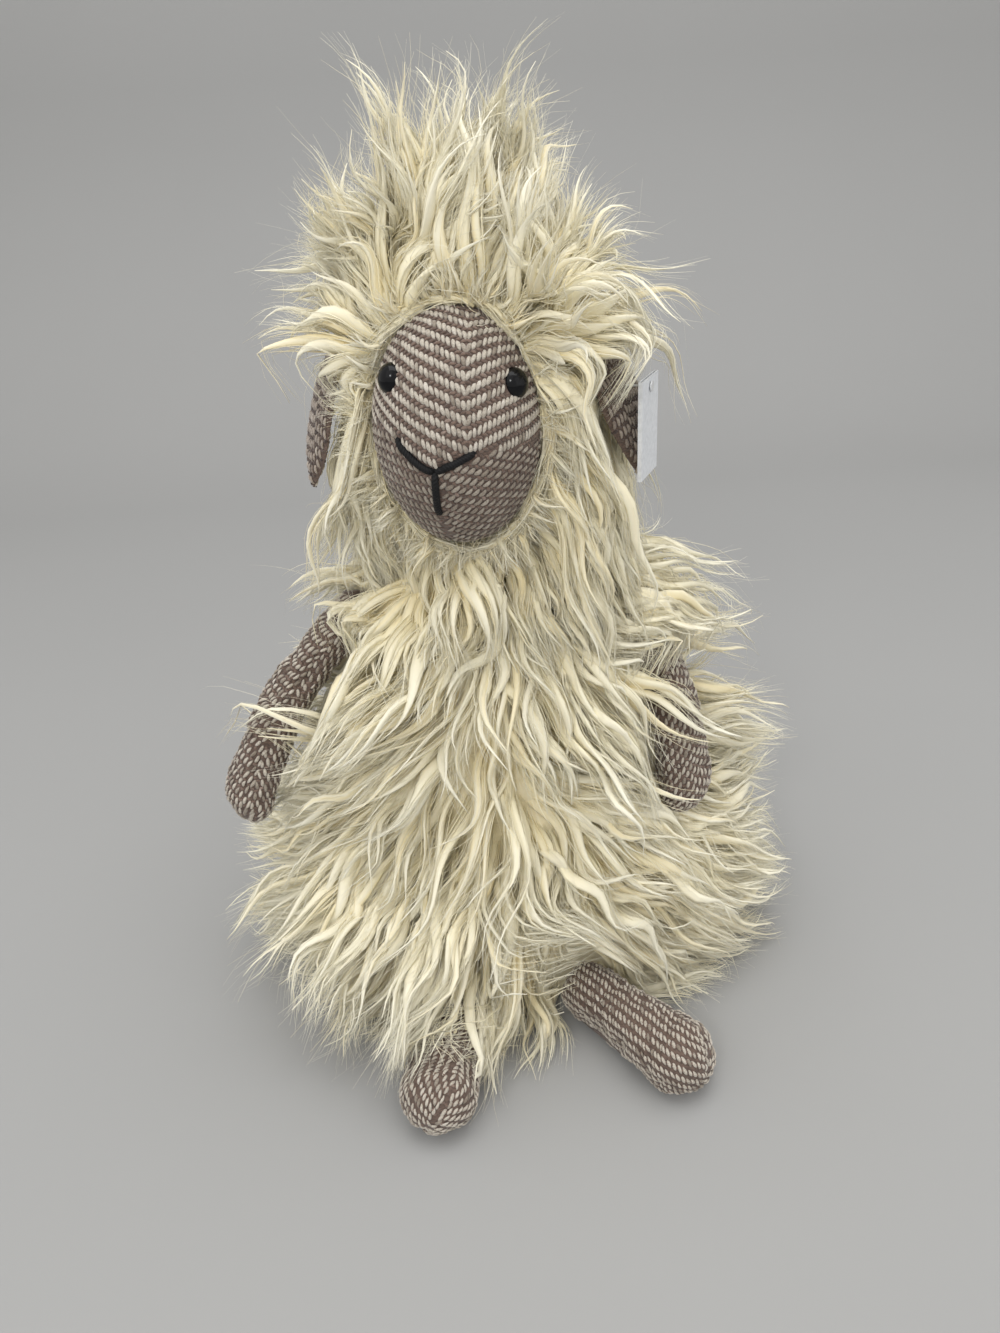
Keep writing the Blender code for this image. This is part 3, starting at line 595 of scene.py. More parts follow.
def scaled(colour: Colour, share: float) -> Colour:
    """A colour with a share of its light."""
    return tuple(channel * share for channel in colour)


def plastic(name: str, base: Colour, roughness: float, gloss: float = 0.5) -> GrainFinish:
    """Moulded plastic, with faint waviness in its gloss."""
    relief = Relief(0.04, 0.5 * MM, 120.0, 1.0)
    return GrainFinish(name, base, scaled(base, 0.85), (300.0, 2.0), relief, roughness=roughness, gloss=gloss)


def stuffing(name: str, base: Colour, shade: Colour, scale: float = 180.0) -> GrainFinish:
    """Loose pale fibre or cloth inside the toy."""
    relief = Relief(0.7, 2.0 * MM, scale, 6.0)
    return GrainFinish(name, base, shade, (scale, 6.0), relief, (0.3, 0.65), sheen=0.3)


# The warm root colour and the dim tone and shade colour are partly painted shade, standing in for the warm
# bounced shade deep among the locks; the paler tips are the wool's own.
WOOL = FleeceFinish(
    "ivory_wool", root=(0.97, 0.88, 0.60), middle=(0.95, 0.885, 0.67), tip=(0.90, 0.865, 0.72),
    deep=(1.0, 0.945, 0.81),
)
# The backing is real, but its warm yellow is painted shade: it stands in for the warm bounced shade seen deep
# between the locks.
HIDE = GrainFinish(
    "fleece_backing", (0.96, 0.88, 0.64), (0.92, 0.82, 0.56), (260.0, 4.0),
    Relief(0.6, 0.8 * MM, 900.0), sheen=0.2,
)
# Each yarn's third colour is the dim end of its floats' random tones; the chin's cream floats are held near
# it as painted shade.
YARNS = {
    Tone.CREAM: YarnFinish("cream_yarn", (0.57, 0.52, 0.445), (0.66, 0.61, 0.54), (0.27, 0.225, 0.18)),
    Tone.TAUPE: YarnFinish("taupe_yarn", (0.205, 0.143, 0.113), (0.32, 0.24, 0.20), (0.11, 0.075, 0.06)),
    Tone.DARK: YarnFinish("dark_yarn", (0.13, 0.095, 0.08), (0.22, 0.17, 0.14), (0.07, 0.05, 0.045)),
    Tone.GREY: YarnFinish("grey_yarn", (0.42, 0.36, 0.31), (0.55, 0.49, 0.43), (0.26, 0.21, 0.18)),
}
GROUND = GrainFinish(
    "tweed_ground", (0.17, 0.115, 0.09), (0.085, 0.058, 0.046), (700.0, 3.0),
    Relief(0.5, 0.4 * MM, pitch=1.1 * MM), sheen=0.2,
)
EYE_PLASTIC = plastic("black_eye_plastic", (0.004, 0.004, 0.005), 0.09, 0.22)
NYLON = plastic("clear_nylon", (0.72, 0.73, 0.74), 0.28)
BLACK_THREAD = YarnFinish(
    "black_thread", (0.008, 0.008, 0.009), (0.02, 0.02, 0.024), (0.004, 0.004, 0.004),
    roughness=0.65, sheen=0.02,
)
CARD = GrainFinish(
    "blank_card", (0.78, 0.80, 0.83), (0.68, 0.70, 0.73), (500.0, 4.0),
    Relief(0.15, 0.1 * MM, 1500.0), (0.35, 0.65), roughness=0.4,
)
FIBRE = stuffing("polyester_stuffing", (0.86, 0.86, 0.84), (0.70, 0.70, 0.68))
POUCH = stuffing("pouch_calico", (0.72, 0.68, 0.58), (0.60, 0.56, 0.47), 600.0)
BEANS = stuffing("plastic_beans", (0.80, 0.82, 0.85), (0.45, 0.46, 0.48), 340.0)
PAPER_GREY = (0.37, 0.37, 0.367)
PAPER = GrainFinish(
    "studio_paper", scaled(PAPER_GREY, 1.02), PAPER_GREY, (3.0, 2.0), roughness=0.85, gloss=0.2
)


@lru_cache(maxsize=None)
def material_of(finish: object) -> bpy.types.Material:
    """A finish's material, built on its first use."""
    return finish.build()


# The sheep's own places, read from the frame


@dataclass
class Capsule:
    """A limb's outline as a straight core line with a radius, and the way it must stay open."""

    start: Array
    end: Array
    radius: float
    open_way: Array
    open_from: float = 0.0
    deepest: float = 1.0
    rise: float = 0.8
    slide: float = 0.5
    limit: float = 11.0 * MM
    fade: float = 0.12
    ahead: Tuple[float, float] = (75.0 * MM, 50.0 * MM)
    unevenness: float = 5.0 * MM
    overshoot: float = 1.3

    def crossing(self, lines: Array, margin: float) -> Tuple[Array, Array, Array, Array]:
        """How far each point is on the wrong side of the open way in front of the limb.

        Args:
            lines: Lines as (count, points, 3).
            margin: Extra clearance.

        Returns:
            The distance to move, the way to move, the side of each line's root, and the limb's way.
        """
        core_way = unit(self.end - self.start)
        share = self.share(lines)
        away = self.away(lines)
        lateral = unit(np.cross(self.open_way, core_way))
        front = away @ np.cross(core_way, lateral)
        across = away @ lateral
        size = self.radius + margin
        reach = np.sqrt(np.maximum(size ** 2 - (away @ core_way) ** 2, 0.0))
        reach = reach * np.sqrt(np.maximum(1.0 - (np.minimum(front, 0.0) / size) ** 2, 0.0))
        side = np.where(across[:, :1] < 0.0, -1.0, 1.0)
        opened = smoothstep(self.open_from - self.fade, self.open_from, share)
        opened = opened * smoothstep(0.0, 0.6, reach / size) * smoothstep(*self.ahead, front)
        return np.maximum(reach - side * across, 0.0) * opened, lateral, side, core_way

    def part(self, lines: Array, margin: float, over: Array) -> Array:
        """Parts the fleece: each line stays on the side of the limb where its root is, or ends there.

        Args:
            lines: Lines to clear, as (count, points, 3).
            margin: Extra clearance.
            over: True for each line that may cross over the limb.

        Returns:
            The moved lines.
        """
        margin = margin + self.unevenness * np.abs(soft_noise(lines[:, 0], 9 * MM, 9))[:, None]
        short = self.crossing(lines, margin)[0]
        far = (short > self.limit) & ~over[:, None]
        far |= self.radius - self.distance(lines) > self.deepest * self.radius
        count = lines.shape[1]
        trim = np.where(far.any(axis=1), np.maximum(far.argmax(axis=1), 3) / (count - 1), 1.0)
        lines = stretched(lines, trim)
        short, lateral, side, core_way = self.crossing(lines, margin)
        short = np.where(over[:, None], 0.0, np.minimum(short, self.limit))
        lines = lines + lateral * (side * short)[..., None] + core_way * (self.slide * short)[..., None]
        return self.lift(lines, margin)

    def share(self, points: Array) -> Array:
        """The share of the core line's length at each point, beyond 0 and 1 past its ends."""
        core = self.end - self.start
        return ((points - self.start) @ core) / (core @ core)

    def away(self, points: Array) -> Array:
        """From the limb's core line to each point."""
        along = np.clip(self.share(points), 0.0, 1.0)[..., None]
        return points - (self.start + along * (self.end - self.start))

    def distance(self, points: Array) -> Array:
        """How far each point is from the limb's core line."""
        return np.linalg.norm(self.away(points), axis=-1)

    def lift(self, lines: Array, margin: float) -> Array:
        """Lifts what is still inside the limb out over its front."""
        away = self.away(lines)
        short = np.maximum(self.radius + margin - np.linalg.norm(away, axis=-1), 0.0)
        return lines + unit(unit(away) + self.rise * self.open_way) * (self.overshoot * short)[..., None]


@dataclass
class LimbPlace:
    """Where a limb is, read from its packed cover and its joint."""

    name: str
    pivot: Array
    along: Array
    hinge: Array
    length: float
    radius: float

    @classmethod
    def read(cls, body: str, joint: str, node: str) -> "LimbPlace":
        """Measures a limb.

        Args:
            body: The limb's body.
            joint: The joint that carries it.
            node: The node of its cover.

            body: The limb's body, whose name it takes.
            The limb's place and size.
        """
        record = joint_named(joint)
        pivot = np.array(record["pos_m"])
        points = node_points(node)
        spread = points - pivot
        tip = spread[np.argmax(np.linalg.norm(spread, axis=1))]
        along = unit(tip)
        around = spread - (spread @ along)[:, None] * along
        radius = float(np.percentile(np.linalg.norm(around, axis=1), 98))
        return cls(body, pivot, along, unit(np.array(record["axis"])), float(np.linalg.norm(tip)), radius)

    @property
    def tip(self) -> Array:
        """The limb's far end."""
        return self.pivot + self.along * self.length

    @property
    def outward(self) -> Array:
        """The way across the limb, as the camera sees it, that leads off from the body's middle."""
        across = unit(np.cross(view_from(self.tip), self.along))
        return across * math.copysign(1.0, across[0] * self.pivot[0])

    def capsule(self, open_from: float, bow: float, deepest: float, rise: float = 0.8) -> Capsule:
        """The limb's core line, less its round end, open to the camera from a share of its length on."""
        end = self.pivot + self.along * (self.length - self.radius)
        shift = self.outward * bow * 0.6
        radius = self.radius * 1.08
        return Capsule(self.pivot + shift, end + shift, radius, view_from(self.tip), open_from, deepest, rise)


@dataclass
class HeadPlace:
    """The head's own frame: its origin at the neck, with +X to the sheep's left."""

    origin: Array
    turn: Array

    @classmethod
    def read(cls) -> "HeadPlace":
        """Reads the frame from the nod joint."""
        nod = joint_named("head_nod")
        across = unit(np.array(nod["axis"]))
        back = np.cross(UP, across)
        return cls(np.array(nod["pos_m"]), np.stack([across, back, UP], axis=1))

    def out(self, points: Array) -> Array:
        """Head coordinates to world coordinates."""
        return points @ self.turn.T + self.origin

    def into(self, points: Array) -> Array:
        """World coordinates to head coordinates."""
        return (points - self.origin) @ self.turn


@dataclass
class FaceForm:
    """The face's rounded form, measured from its packed panels, with the modelling of the real one."""

    centre: Array
    radii: Array
    muzzle: float = 3.0 * MM
    seam_depth: float = 0.7 * MM
    socket_depth: float = 1.6 * MM
    mouth_middle: float = -3.6 * MM
    mouth_drop: float = 7.6 * MM
    mouth_spread: float = 15.2 * MM
    mouth_rise: Tuple[float, float] = (6.4 * MM, 11.0 * MM)
    mouth_curve: Tuple[float, float] = (1.1, 1.55)
    chin_line: float = 19.0 * MM
    eye_middle: float = 2.2 * MM
    eye_spread: float = 24.3 * MM
    eye_heights: Tuple[float, float] = (20.4 * MM, 24.4 * MM)

    @classmethod
    def read(cls, head: HeadPlace) -> "FaceForm":
        """Measures the face in the head's frame."""
        points = np.concatenate([head.into(node_points(f"face_panel_{side.label}")) for side in Side])
        low = points.min(axis=0)
        high = points.max(axis=0)
        centre = np.array(((low[0] + high[0]) / 2.0, high[1], (low[2] + high[2]) / 2.0))
        radii = np.array(((high[0] - low[0]) / 2.0, high[1] - low[1], (high[2] - low[2]) / 2.0))
        return cls(centre, radii)

    def mouth_height(self, x: Array) -> Array:
        """The height of the mouth's line, and of the darts beyond its ends, across the face."""
        away = np.abs(x - self.mouth_middle)
        left = x > self.mouth_middle
        rise = np.where(left, *self.mouth_rise)
        curve = np.where(left, *self.mouth_curve)
        inner = -self.mouth_drop + rise * (np.minimum(away, self.mouth_spread) / self.mouth_spread) ** curve
        outer = np.where(left, -0.12, 0.25) * np.maximum(away - self.mouth_spread, 0.0)
        return inner + outer

    def eye_x(self, side: Side) -> float:
        """How far to the left of the middle an eye is."""
        return self.eye_middle + side.value * self.eye_spread

    def eye_z(self, side: Side) -> float:
        """How far above the middle an eye is."""
        return self.eye_heights[0] if side is Side.LEFT else self.eye_heights[1]

    def surface(self, x: Array, z: Array) -> Array:
        """The face's front at places across and up it.

        Args:
            x: Distance to the sheep's left of the middle.
            z: Distance above the middle.

        Returns:
            Points in the head's frame.
        """
        rx, ry, rz = self.radii
        round_share = np.clip(1.0 - (x / rx) ** 2 - (z / rz) ** 2, 0.0, 1.0)
        y = -ry * np.sqrt(round_share)
        fade = smoothstep(0.02, 0.35, round_share)
        y = y - self.muzzle * np.exp(-((x / (19 * MM)) ** 2) - ((z + 12 * MM) / (20 * MM)) ** 2) * fade
        y = y + self.seam_depth * np.exp(-((x / (1.3 * MM)) ** 2)) * fade
        for side in Side:
            near = (x - self.eye_x(side)) ** 2 + (z - self.eye_z(side)) ** 2
            y = y + self.socket_depth * np.exp(-near / (8.5 * MM) ** 2)
        gap = z - self.mouth_height(x)
        inside = smoothstep(1.35, 0.95, np.abs(x - self.mouth_middle) / self.mouth_spread)
        y = y + 1.1 * MM * np.exp(-((gap / (1.8 * MM)) ** 2)) * fade * (0.35 + 0.65 * inside)
        return np.stack([self.centre[0] + x, self.centre[1] + y, self.centre[2] + z], axis=-1)

    def normals(self, x: Array, z: Array) -> Array:
        """Outward directions at places on the face, in the head's frame."""
        step = 0.4 * MM
        right = self.surface(x + step, z) - self.surface(x - step, z)
        above = self.surface(x, z + step) - self.surface(x, z - step)
        return unit(np.cross(right, above))


# Woven cloth


WEAVE_WIDTH = 2.05 * MM


@dataclass
class Weave:
    """The herringbone cloth: cream floats in slanting rows on a taupe ground."""

    pitch: float = WEAVE_WIDTH
    repeat: float = 5.5 * MM
    step: float = 1.1 * MM
    float_length: float = 4.7 * MM
    float_width: float = 1.8 * MM
    float_height: float = 0.7 * MM
    sink: float = 0.42
    lean: float = 0.30
    seed: int = 5

    def floats(
        self, middles: Array, along: Array, normals: Array, length: float, width: float, height: float,
        seed: int, most_tone: float = 1.0,
    ) -> MeshStock:
        """Pillow-shaped yarn floats laid on a surface.

        Args:
            middles: The middle of each float.
            along: The direction of each float.
            normals: The surface's outward direction at each float.
            length: The floats' length.
            width: Their width.
            height: How far they stand up.
            seed: Which random variation.
            most_tone: The palest tone that a float may have, from 0 to 1.

        Returns:
            The floats' faces.
        """
        draw = np.random.default_rng(seed)
        count = len(middles)
        rows = 6
        sides = 6
        share = np.linspace(-1.0, 1.0, rows)
        size = length / 2.0 * draw.uniform(0.88, 1.1, count)
        bow = np.cos(share * math.pi / 2.0)
        first, across = frame_across(along, np.broadcast_to(normals, along.shape))
        sway = draw.normal(0.0, 0.10 * width, (count, 1)) * share[None, :]
        paths = (
            middles[:, None, :]
            + along[:, None, :] * (size[:, None] * share[None, :])[..., None]
            + first[:, None, :] * (height * (bow[None, :] - self.sink))[..., None]
            + across[:, None, :] * sway[..., None]
        )
        shape = np.maximum(1.0 - np.abs(share) ** 3.0, 0.16)[None, :]
        wide = width / 2.0 * shape * draw.uniform(0.88, 1.12, (count, 1))
        thin = height * 0.72 * shape * np.ones((count, 1))
        hint = np.broadcast_to(across[:, None, :], paths.shape)
        return sweep(paths, wide, thin, hint, sides, draw.uniform(0.0, most_tone, count))

    def column(
        self, line: Array, normals: Array, phase: float, inside: Array, lean: float = 0.0
    ) -> Tuple[Array, Array, Array, Array, Array, Array]:
        """Places the floats of one column of the cloth.

        Args:
            line: The column's path on the surface.
            normals: The surface's outward direction along it.
            phase: How far the column's floats are moved along it.
            inside: True where the column is on the panel.
            lean: How far each float turns from the column, as a slope.

        Returns:
            Middles, directions and normals of the cream floats, then of the taupe gaps.
        """
        arc = arc_of(line)
        arc -= np.interp(0.5, np.linspace(0.0, 1.0, len(arc)), arc)
        found: List[Array] = []
        for offset in (0.0, self.repeat / 2.0):
            first = math.ceil((arc[0] - phase - offset) / self.repeat)
            last = math.floor((arc[-1] - phase - offset) / self.repeat)
            places = phase + offset + self.repeat * np.arange(first, last + 1)
            middle = sampled(places, arc, line)
            ahead = sampled(places + 0.3 * MM, arc, line)
            normal = unit(sampled(places, arc, normals))
            on_panel = np.interp(places, arc, inside.astype(float)) > 0.5
            good = on_panel & (np.linalg.norm(ahead - middle, axis=1) > 1e-7)
            way = unit(ahead - middle)
            way = unit(way + lean * np.cross(way, normal))
            found += [middle[good], way[good], normal[good]]
        return tuple(found)

    def cover(
        self, columns: Sequence[Column], seed: int, most_tone: float = 1.0
    ) -> Tuple[MeshStock, MeshStock]:
        """Lays floats along many columns.

        Args:
            columns: For each column its line, normals, phase, and where it is on the panel.
            seed: Which random variation.
            most_tone: The palest tone that a cream float may have, from 0 to 1.

        Returns:
            The cream floats and the taupe floats.
        """
        batches = [self.column(*column) for column in columns]
        middles, ways, normals, gaps, gap_ways, gap_normals = (
            np.concatenate([batch[index] for batch in batches]) for index in range(6)
        )
        cream = self.floats(
            middles, ways, normals, self.float_length, self.float_width, self.float_height, seed, most_tone
        )
        taupe = self.floats(
            gaps, unit(np.cross(gap_ways, gap_normals)), gap_normals,
            WEAVE_WIDTH * 1.35, self.float_width * 0.78, self.float_height * 0.62, seed + 1,
        )
        return cream, taupe


WEAVE = Weave()
ARM_WEAVE = Weave(pitch=2.35 * MM, step=2.0 * MM, float_length=4.5 * MM, float_width=1.7 * MM, lean=0.42)
LEG_WEAVE = Weave(
    pitch=4.2 * MM, repeat=2.7 * MM, step=0.9 * MM, float_length=4.3 * MM, float_width=1.6 * MM, lean=1.1
)


def grid_mesh(name: str, grid: Array, closed_round: bool) -> bpy.types.Mesh:
    """A smooth mesh over a grid of points.

    Args:
        name: The mesh's name.
        grid: Points as (rows, columns, 3).
        closed_round: Whether the last column joins the first.

    Returns:
        The mesh.
    """
    rows, columns, _ = grid.shape
    number = np.arange(rows * columns).reshape(rows, columns)
    if closed_round:
        ahead = np.roll(number, -1, axis=1)
        quads = np.stack([number[:-1], ahead[:-1], ahead[1:], number[1:]], axis=-1)
    else:
        quads = np.stack([number[:-1, :-1], number[:-1, 1:], number[1:, 1:], number[1:, :-1]], axis=-1)
    mesh = MeshStock(grid.reshape(-1, 3), quads.reshape(-1, 4), np.zeros((rows * columns, 2))).mesh(name)
    work = bmesh.new()
    work.from_mesh(mesh)
    bmesh.ops.remove_doubles(work, verts=work.verts, dist=0.01 * MM)
    bmesh.ops.recalc_face_normals(work, faces=work.faces)
    work.to_mesh(mesh)
    work.free()
    return mesh


# The face


@dataclass
class WovenFace:
    """The face's cloth, its floats, its eyes and its mouth."""

    head: HeadPlace
    form: FaceForm
    rows: int = 72
    columns: int = 56
    back_reach: float = 6.0 * MM
    ridge: float = 9.5 * MM
    ridge_lean: float = -0.01
    ridge_fade: float = 34.0 * MM
    ridge_slopes: Tuple[float, float] = (0.36, 0.50)
    eye_radius: float = 5.9 * MM
    eye_facing: float = 0.6
    eye_sink: float = 1.2 * MM
    thread_radius: float = 1.4 * MM
    thread_turns: float = 5.5

    def inside(self, x: Array, z: Array, edge: float = 0.985) -> Array:
        """True where a place is within the face's oval."""
        rx, _, rz = self.form.radii
        return (x / rx) ** 2 + (z / rz) ** 2 < edge ** 2

    def ground(self) -> None:
        """The cloth's ground, rounded back behind its edge so that no rim shows."""
        angle = ring(self.columns)
        reach = np.sin(np.linspace(0.0, math.pi / 2.0, self.rows))
        rx, _, rz = self.form.radii
        x = reach[:, None] * np.cos(angle)[None, :] * rx
        z = reach[:, None] * np.sin(angle)[None, :] * rz
        front = self.form.surface(x, z)
        rim = front[-1]
        back = [rim + np.array((0.0, self.back_reach * share, 0.0)) for share in (0.5, 1.0)]
        middle = rim.mean(axis=0) + np.array((0.0, self.back_reach, 0.0))
        grid = np.concatenate([front, np.stack(back), np.broadcast_to(middle, rim.shape)[None]])
        mesh = grid_mesh("face_cloth", self.head.out(grid), True)
        nodes = [f"face_panel_{side.label}" for side in Side]
        piece = add_piece("face_cloth", mesh, "head", GROUND, nodes)

    def mouth_gap(self, x: Array) -> Array:
        """How far floats keep from the mouth's line, which is less beyond its ends."""
        return np.where(np.abs(x - self.form.mouth_middle) < self.form.mouth_spread, 1.6 * MM, 0.5 * MM)

    def upper_columns(self) -> List[Column]:
        """The upright columns of the forehead and nose, which reverse their slope at one column."""
        rx, _, rz = self.form.radii
        flat = np.linspace(-rx * 0.985, rx * 0.985, 700)
        line = self.form.surface(flat, np.zeros_like(flat))
        arc = arc_of(line)
        arc -= np.interp(self.ridge, flat, arc)
        found = []
        for index in range(math.ceil(arc[0] / WEAVE.pitch), math.floor(arc[-1] / WEAVE.pitch)):
            place = (index + 0.5) * WEAVE.pitch
            x = float(np.interp(place, arc, flat))
            z = np.linspace(-1.0, 1.0, 240) * rz * 0.995
            across = x + self.ridge_lean * (z - self.form.eye_heights[0])
            points = self.form.surface(across, z)
            away = abs(place)
            fade = max(1.0 - away / self.ridge_fade, 0.1) if place > 0.0 else 1.0
            slope = self.ridge_slopes[0] if place > 0.0 else self.ridge_slopes[1]
            phase = slope * away * (1.0 + fade) / 2.0
            clear = z > self.form.mouth_height(across) + self.mouth_gap(across)
            for eye in Side:
                gap = np.hypot(across - self.form.eye_x(eye), z - self.form.eye_z(eye))
                clear &= gap > self.eye_radius * 0.70
            lean = WEAVE.lean if place > 0.0 else -WEAVE.lean
            found.append((points, self.form.normals(across, z), phase, self.inside(across, z) & clear, lean))
        return found

    def chin_columns(self) -> List[Column]:
        """The slanting columns of the two chin panels under the mouth."""
        found = []
        reach = self.form.radii[2] * 1.5
        for side, slant in ((Side.LEFT, math.radians(34.0)), (Side.RIGHT, math.radians(62.0))):
            along = np.array((side.value * math.cos(slant), math.sin(slant)))
            across = np.array((side.value * math.sin(slant), -math.cos(slant)))
            run = np.linspace(-reach, reach, 420)
            for index in range(-22, 28):
                start = (self.form.mouth_middle, -self.form.mouth_drop) + across * index * WEAVE.pitch
                x = start[0] + along[0] * run
                z = start[1] + along[1] * run
                inside = self.inside(x, z) & (z < self.form.mouth_height(x) - self.mouth_gap(x))
                inside &= side.value * (x - self.form.mouth_middle) > 1.0 * MM
                if not inside.any():
                    continue
                points = self.form.surface(np.clip(x, -0.05, 0.05), z)
                phase = WEAVE.pitch * 0.75 * index
                found.append((points, self.form.normals(x, z), phase, inside, 0.0))
        return found

    def floats(self) -> None:
        """The cream and taupe floats over the whole face."""
        # The chin's cream floats are held to the darkest tones, up to 0.16, near their yarn's shade colour:
        # painted shade on the chin under the mouth, which faces down.
        areas = (("brow", self.upper_columns(), 11, 1.0), ("chin", self.chin_columns(), 17, 0.16))
        for label, columns, seed, most_tone in areas:
            stocks = WEAVE.cover(self.in_world(columns), seed, most_tone)
            add_floats(f"face_{label}", "head", (Tone.CREAM, Tone.TAUPE), stocks)

    def in_world(self, columns: List[Column]) -> List[Column]:
        """Moves columns from the head's frame to the world's."""
        turn = self.head.turn.T
        return [(self.head.out(line), normal @ turn, *rest) for line, normal, *rest in columns]

    def eye(self, side: Side) -> None:
        """One glossy domed eye, sunk a little into the cloth."""
        form = self.form
        x = np.array([form.eye_x(side)])
        z = np.array([form.eye_z(side)])
        place = form.surface(x, z)[0]
        out = unit(form.normals(x, z)[0] + self.eye_facing * np.array((0.0, -1.0, 0.0)))
        up = unit(UP - out[2] * out)
        across = np.cross(up, out)
        polar = np.linspace(0.0, math.pi, 18)[:, None, None]
        angle = ring(32)[None, :, None]
        dome = (
            across * (np.sin(polar) * np.cos(angle))
            + up * (np.sin(polar) * np.sin(angle) * 1.06)
            + out * (np.cos(polar) * 0.92)
        )
        grid = place + dome * self.eye_radius - out * self.eye_sink
        name = f"eye_bead_{side.label}"
        mesh = grid_mesh(name, self.head.out(grid), True)
        add_piece(name, mesh, "head", EYE_PLASTIC, [f"eye_{side.label}"])

    def thread(self, name: str, x: Array, z: Array, node: str) -> None:
        """One mouth stitch of plied thread that sinks into the cloth at its ends."""
        count = 60
        share = np.linspace(0.0, 1.0, count)
        xs = np.interp(share, np.linspace(0.0, 1.0, len(x)), x)
        zs = np.interp(share, np.linspace(0.0, 1.0, len(z)), z)
        points = self.form.surface(xs, zs)
        normal = self.form.normals(xs, zs)
        lift = self.thread_radius * (0.9 - 1.6 * np.abs(2.0 * share - 1.0) ** 8)
        core = self.head.out(points + normal * lift[:, None])
        tangent = unit(np.gradient(core, axis=0))
        first, second = frame_across(tangent, normal @ self.head.turn.T)
        plies = 3
        stocks = []
        draw = np.random.default_rng(3)
        for ply in range(plies):
            turn = 2.0 * math.pi * (ply / plies + share * self.thread_turns)
            offset = first * np.cos(turn)[:, None] + second * np.sin(turn)[:, None]
            path = core + offset * self.thread_radius * 0.48
            wide = np.full((1, count), self.thread_radius * 0.62)
            stocks.append(sweep(path[None], wide, wide, first[None], 8, draw.uniform(0.2, 0.8, 1)))
        add_piece(name, merged(stocks).mesh(name), "head", BLACK_THREAD, [node])

    def mouth(self) -> None:
        """The two rising stitches and the one that runs down the chin."""
        form = self.form
        spread = form.mouth_spread
        for side in Side:
            x = form.mouth_middle + side.value * np.linspace(0.5 * MM, spread, 12)
            name = f"mouth_thread_{side.label}"
            self.thread(name, x, form.mouth_height(x), f"mouth_stitch_{side.label}")
        z = np.linspace(-form.mouth_drop - 0.4 * MM, -form.mouth_drop - form.chin_line, 8)
        x = form.mouth_middle + np.linspace(0.4 * MM, -0.8 * MM, 8)
        self.thread("mouth_thread_center", x, z, "mouth_stitch_center")

    def build(self) -> None:
        """Builds the whole face."""
        self.ground()
        self.floats()
        for side in Side:
            self.eye(side)
        self.mouth()


# Limbs


LIMB_CLOTH = {
    "quality": 6, "mass": 0.15, "shrink_min": -0.05, "vertex_group_mass": "seam",
    "tension_stiffness": 8.0, "compression_stiffness": 8.0, "bending_stiffness": 0.2,
    "use_pressure": True, "uniform_pressure_force": 4.0,
}


@dataclass
class LimbShape:
    """How a limb swells along its length, how it bends, and where its seam lies."""

    shares: Sequence[Tuple[float, float]]
    bend: float
    seam_turn: float
    seam_depth: float = 0.9 * MM


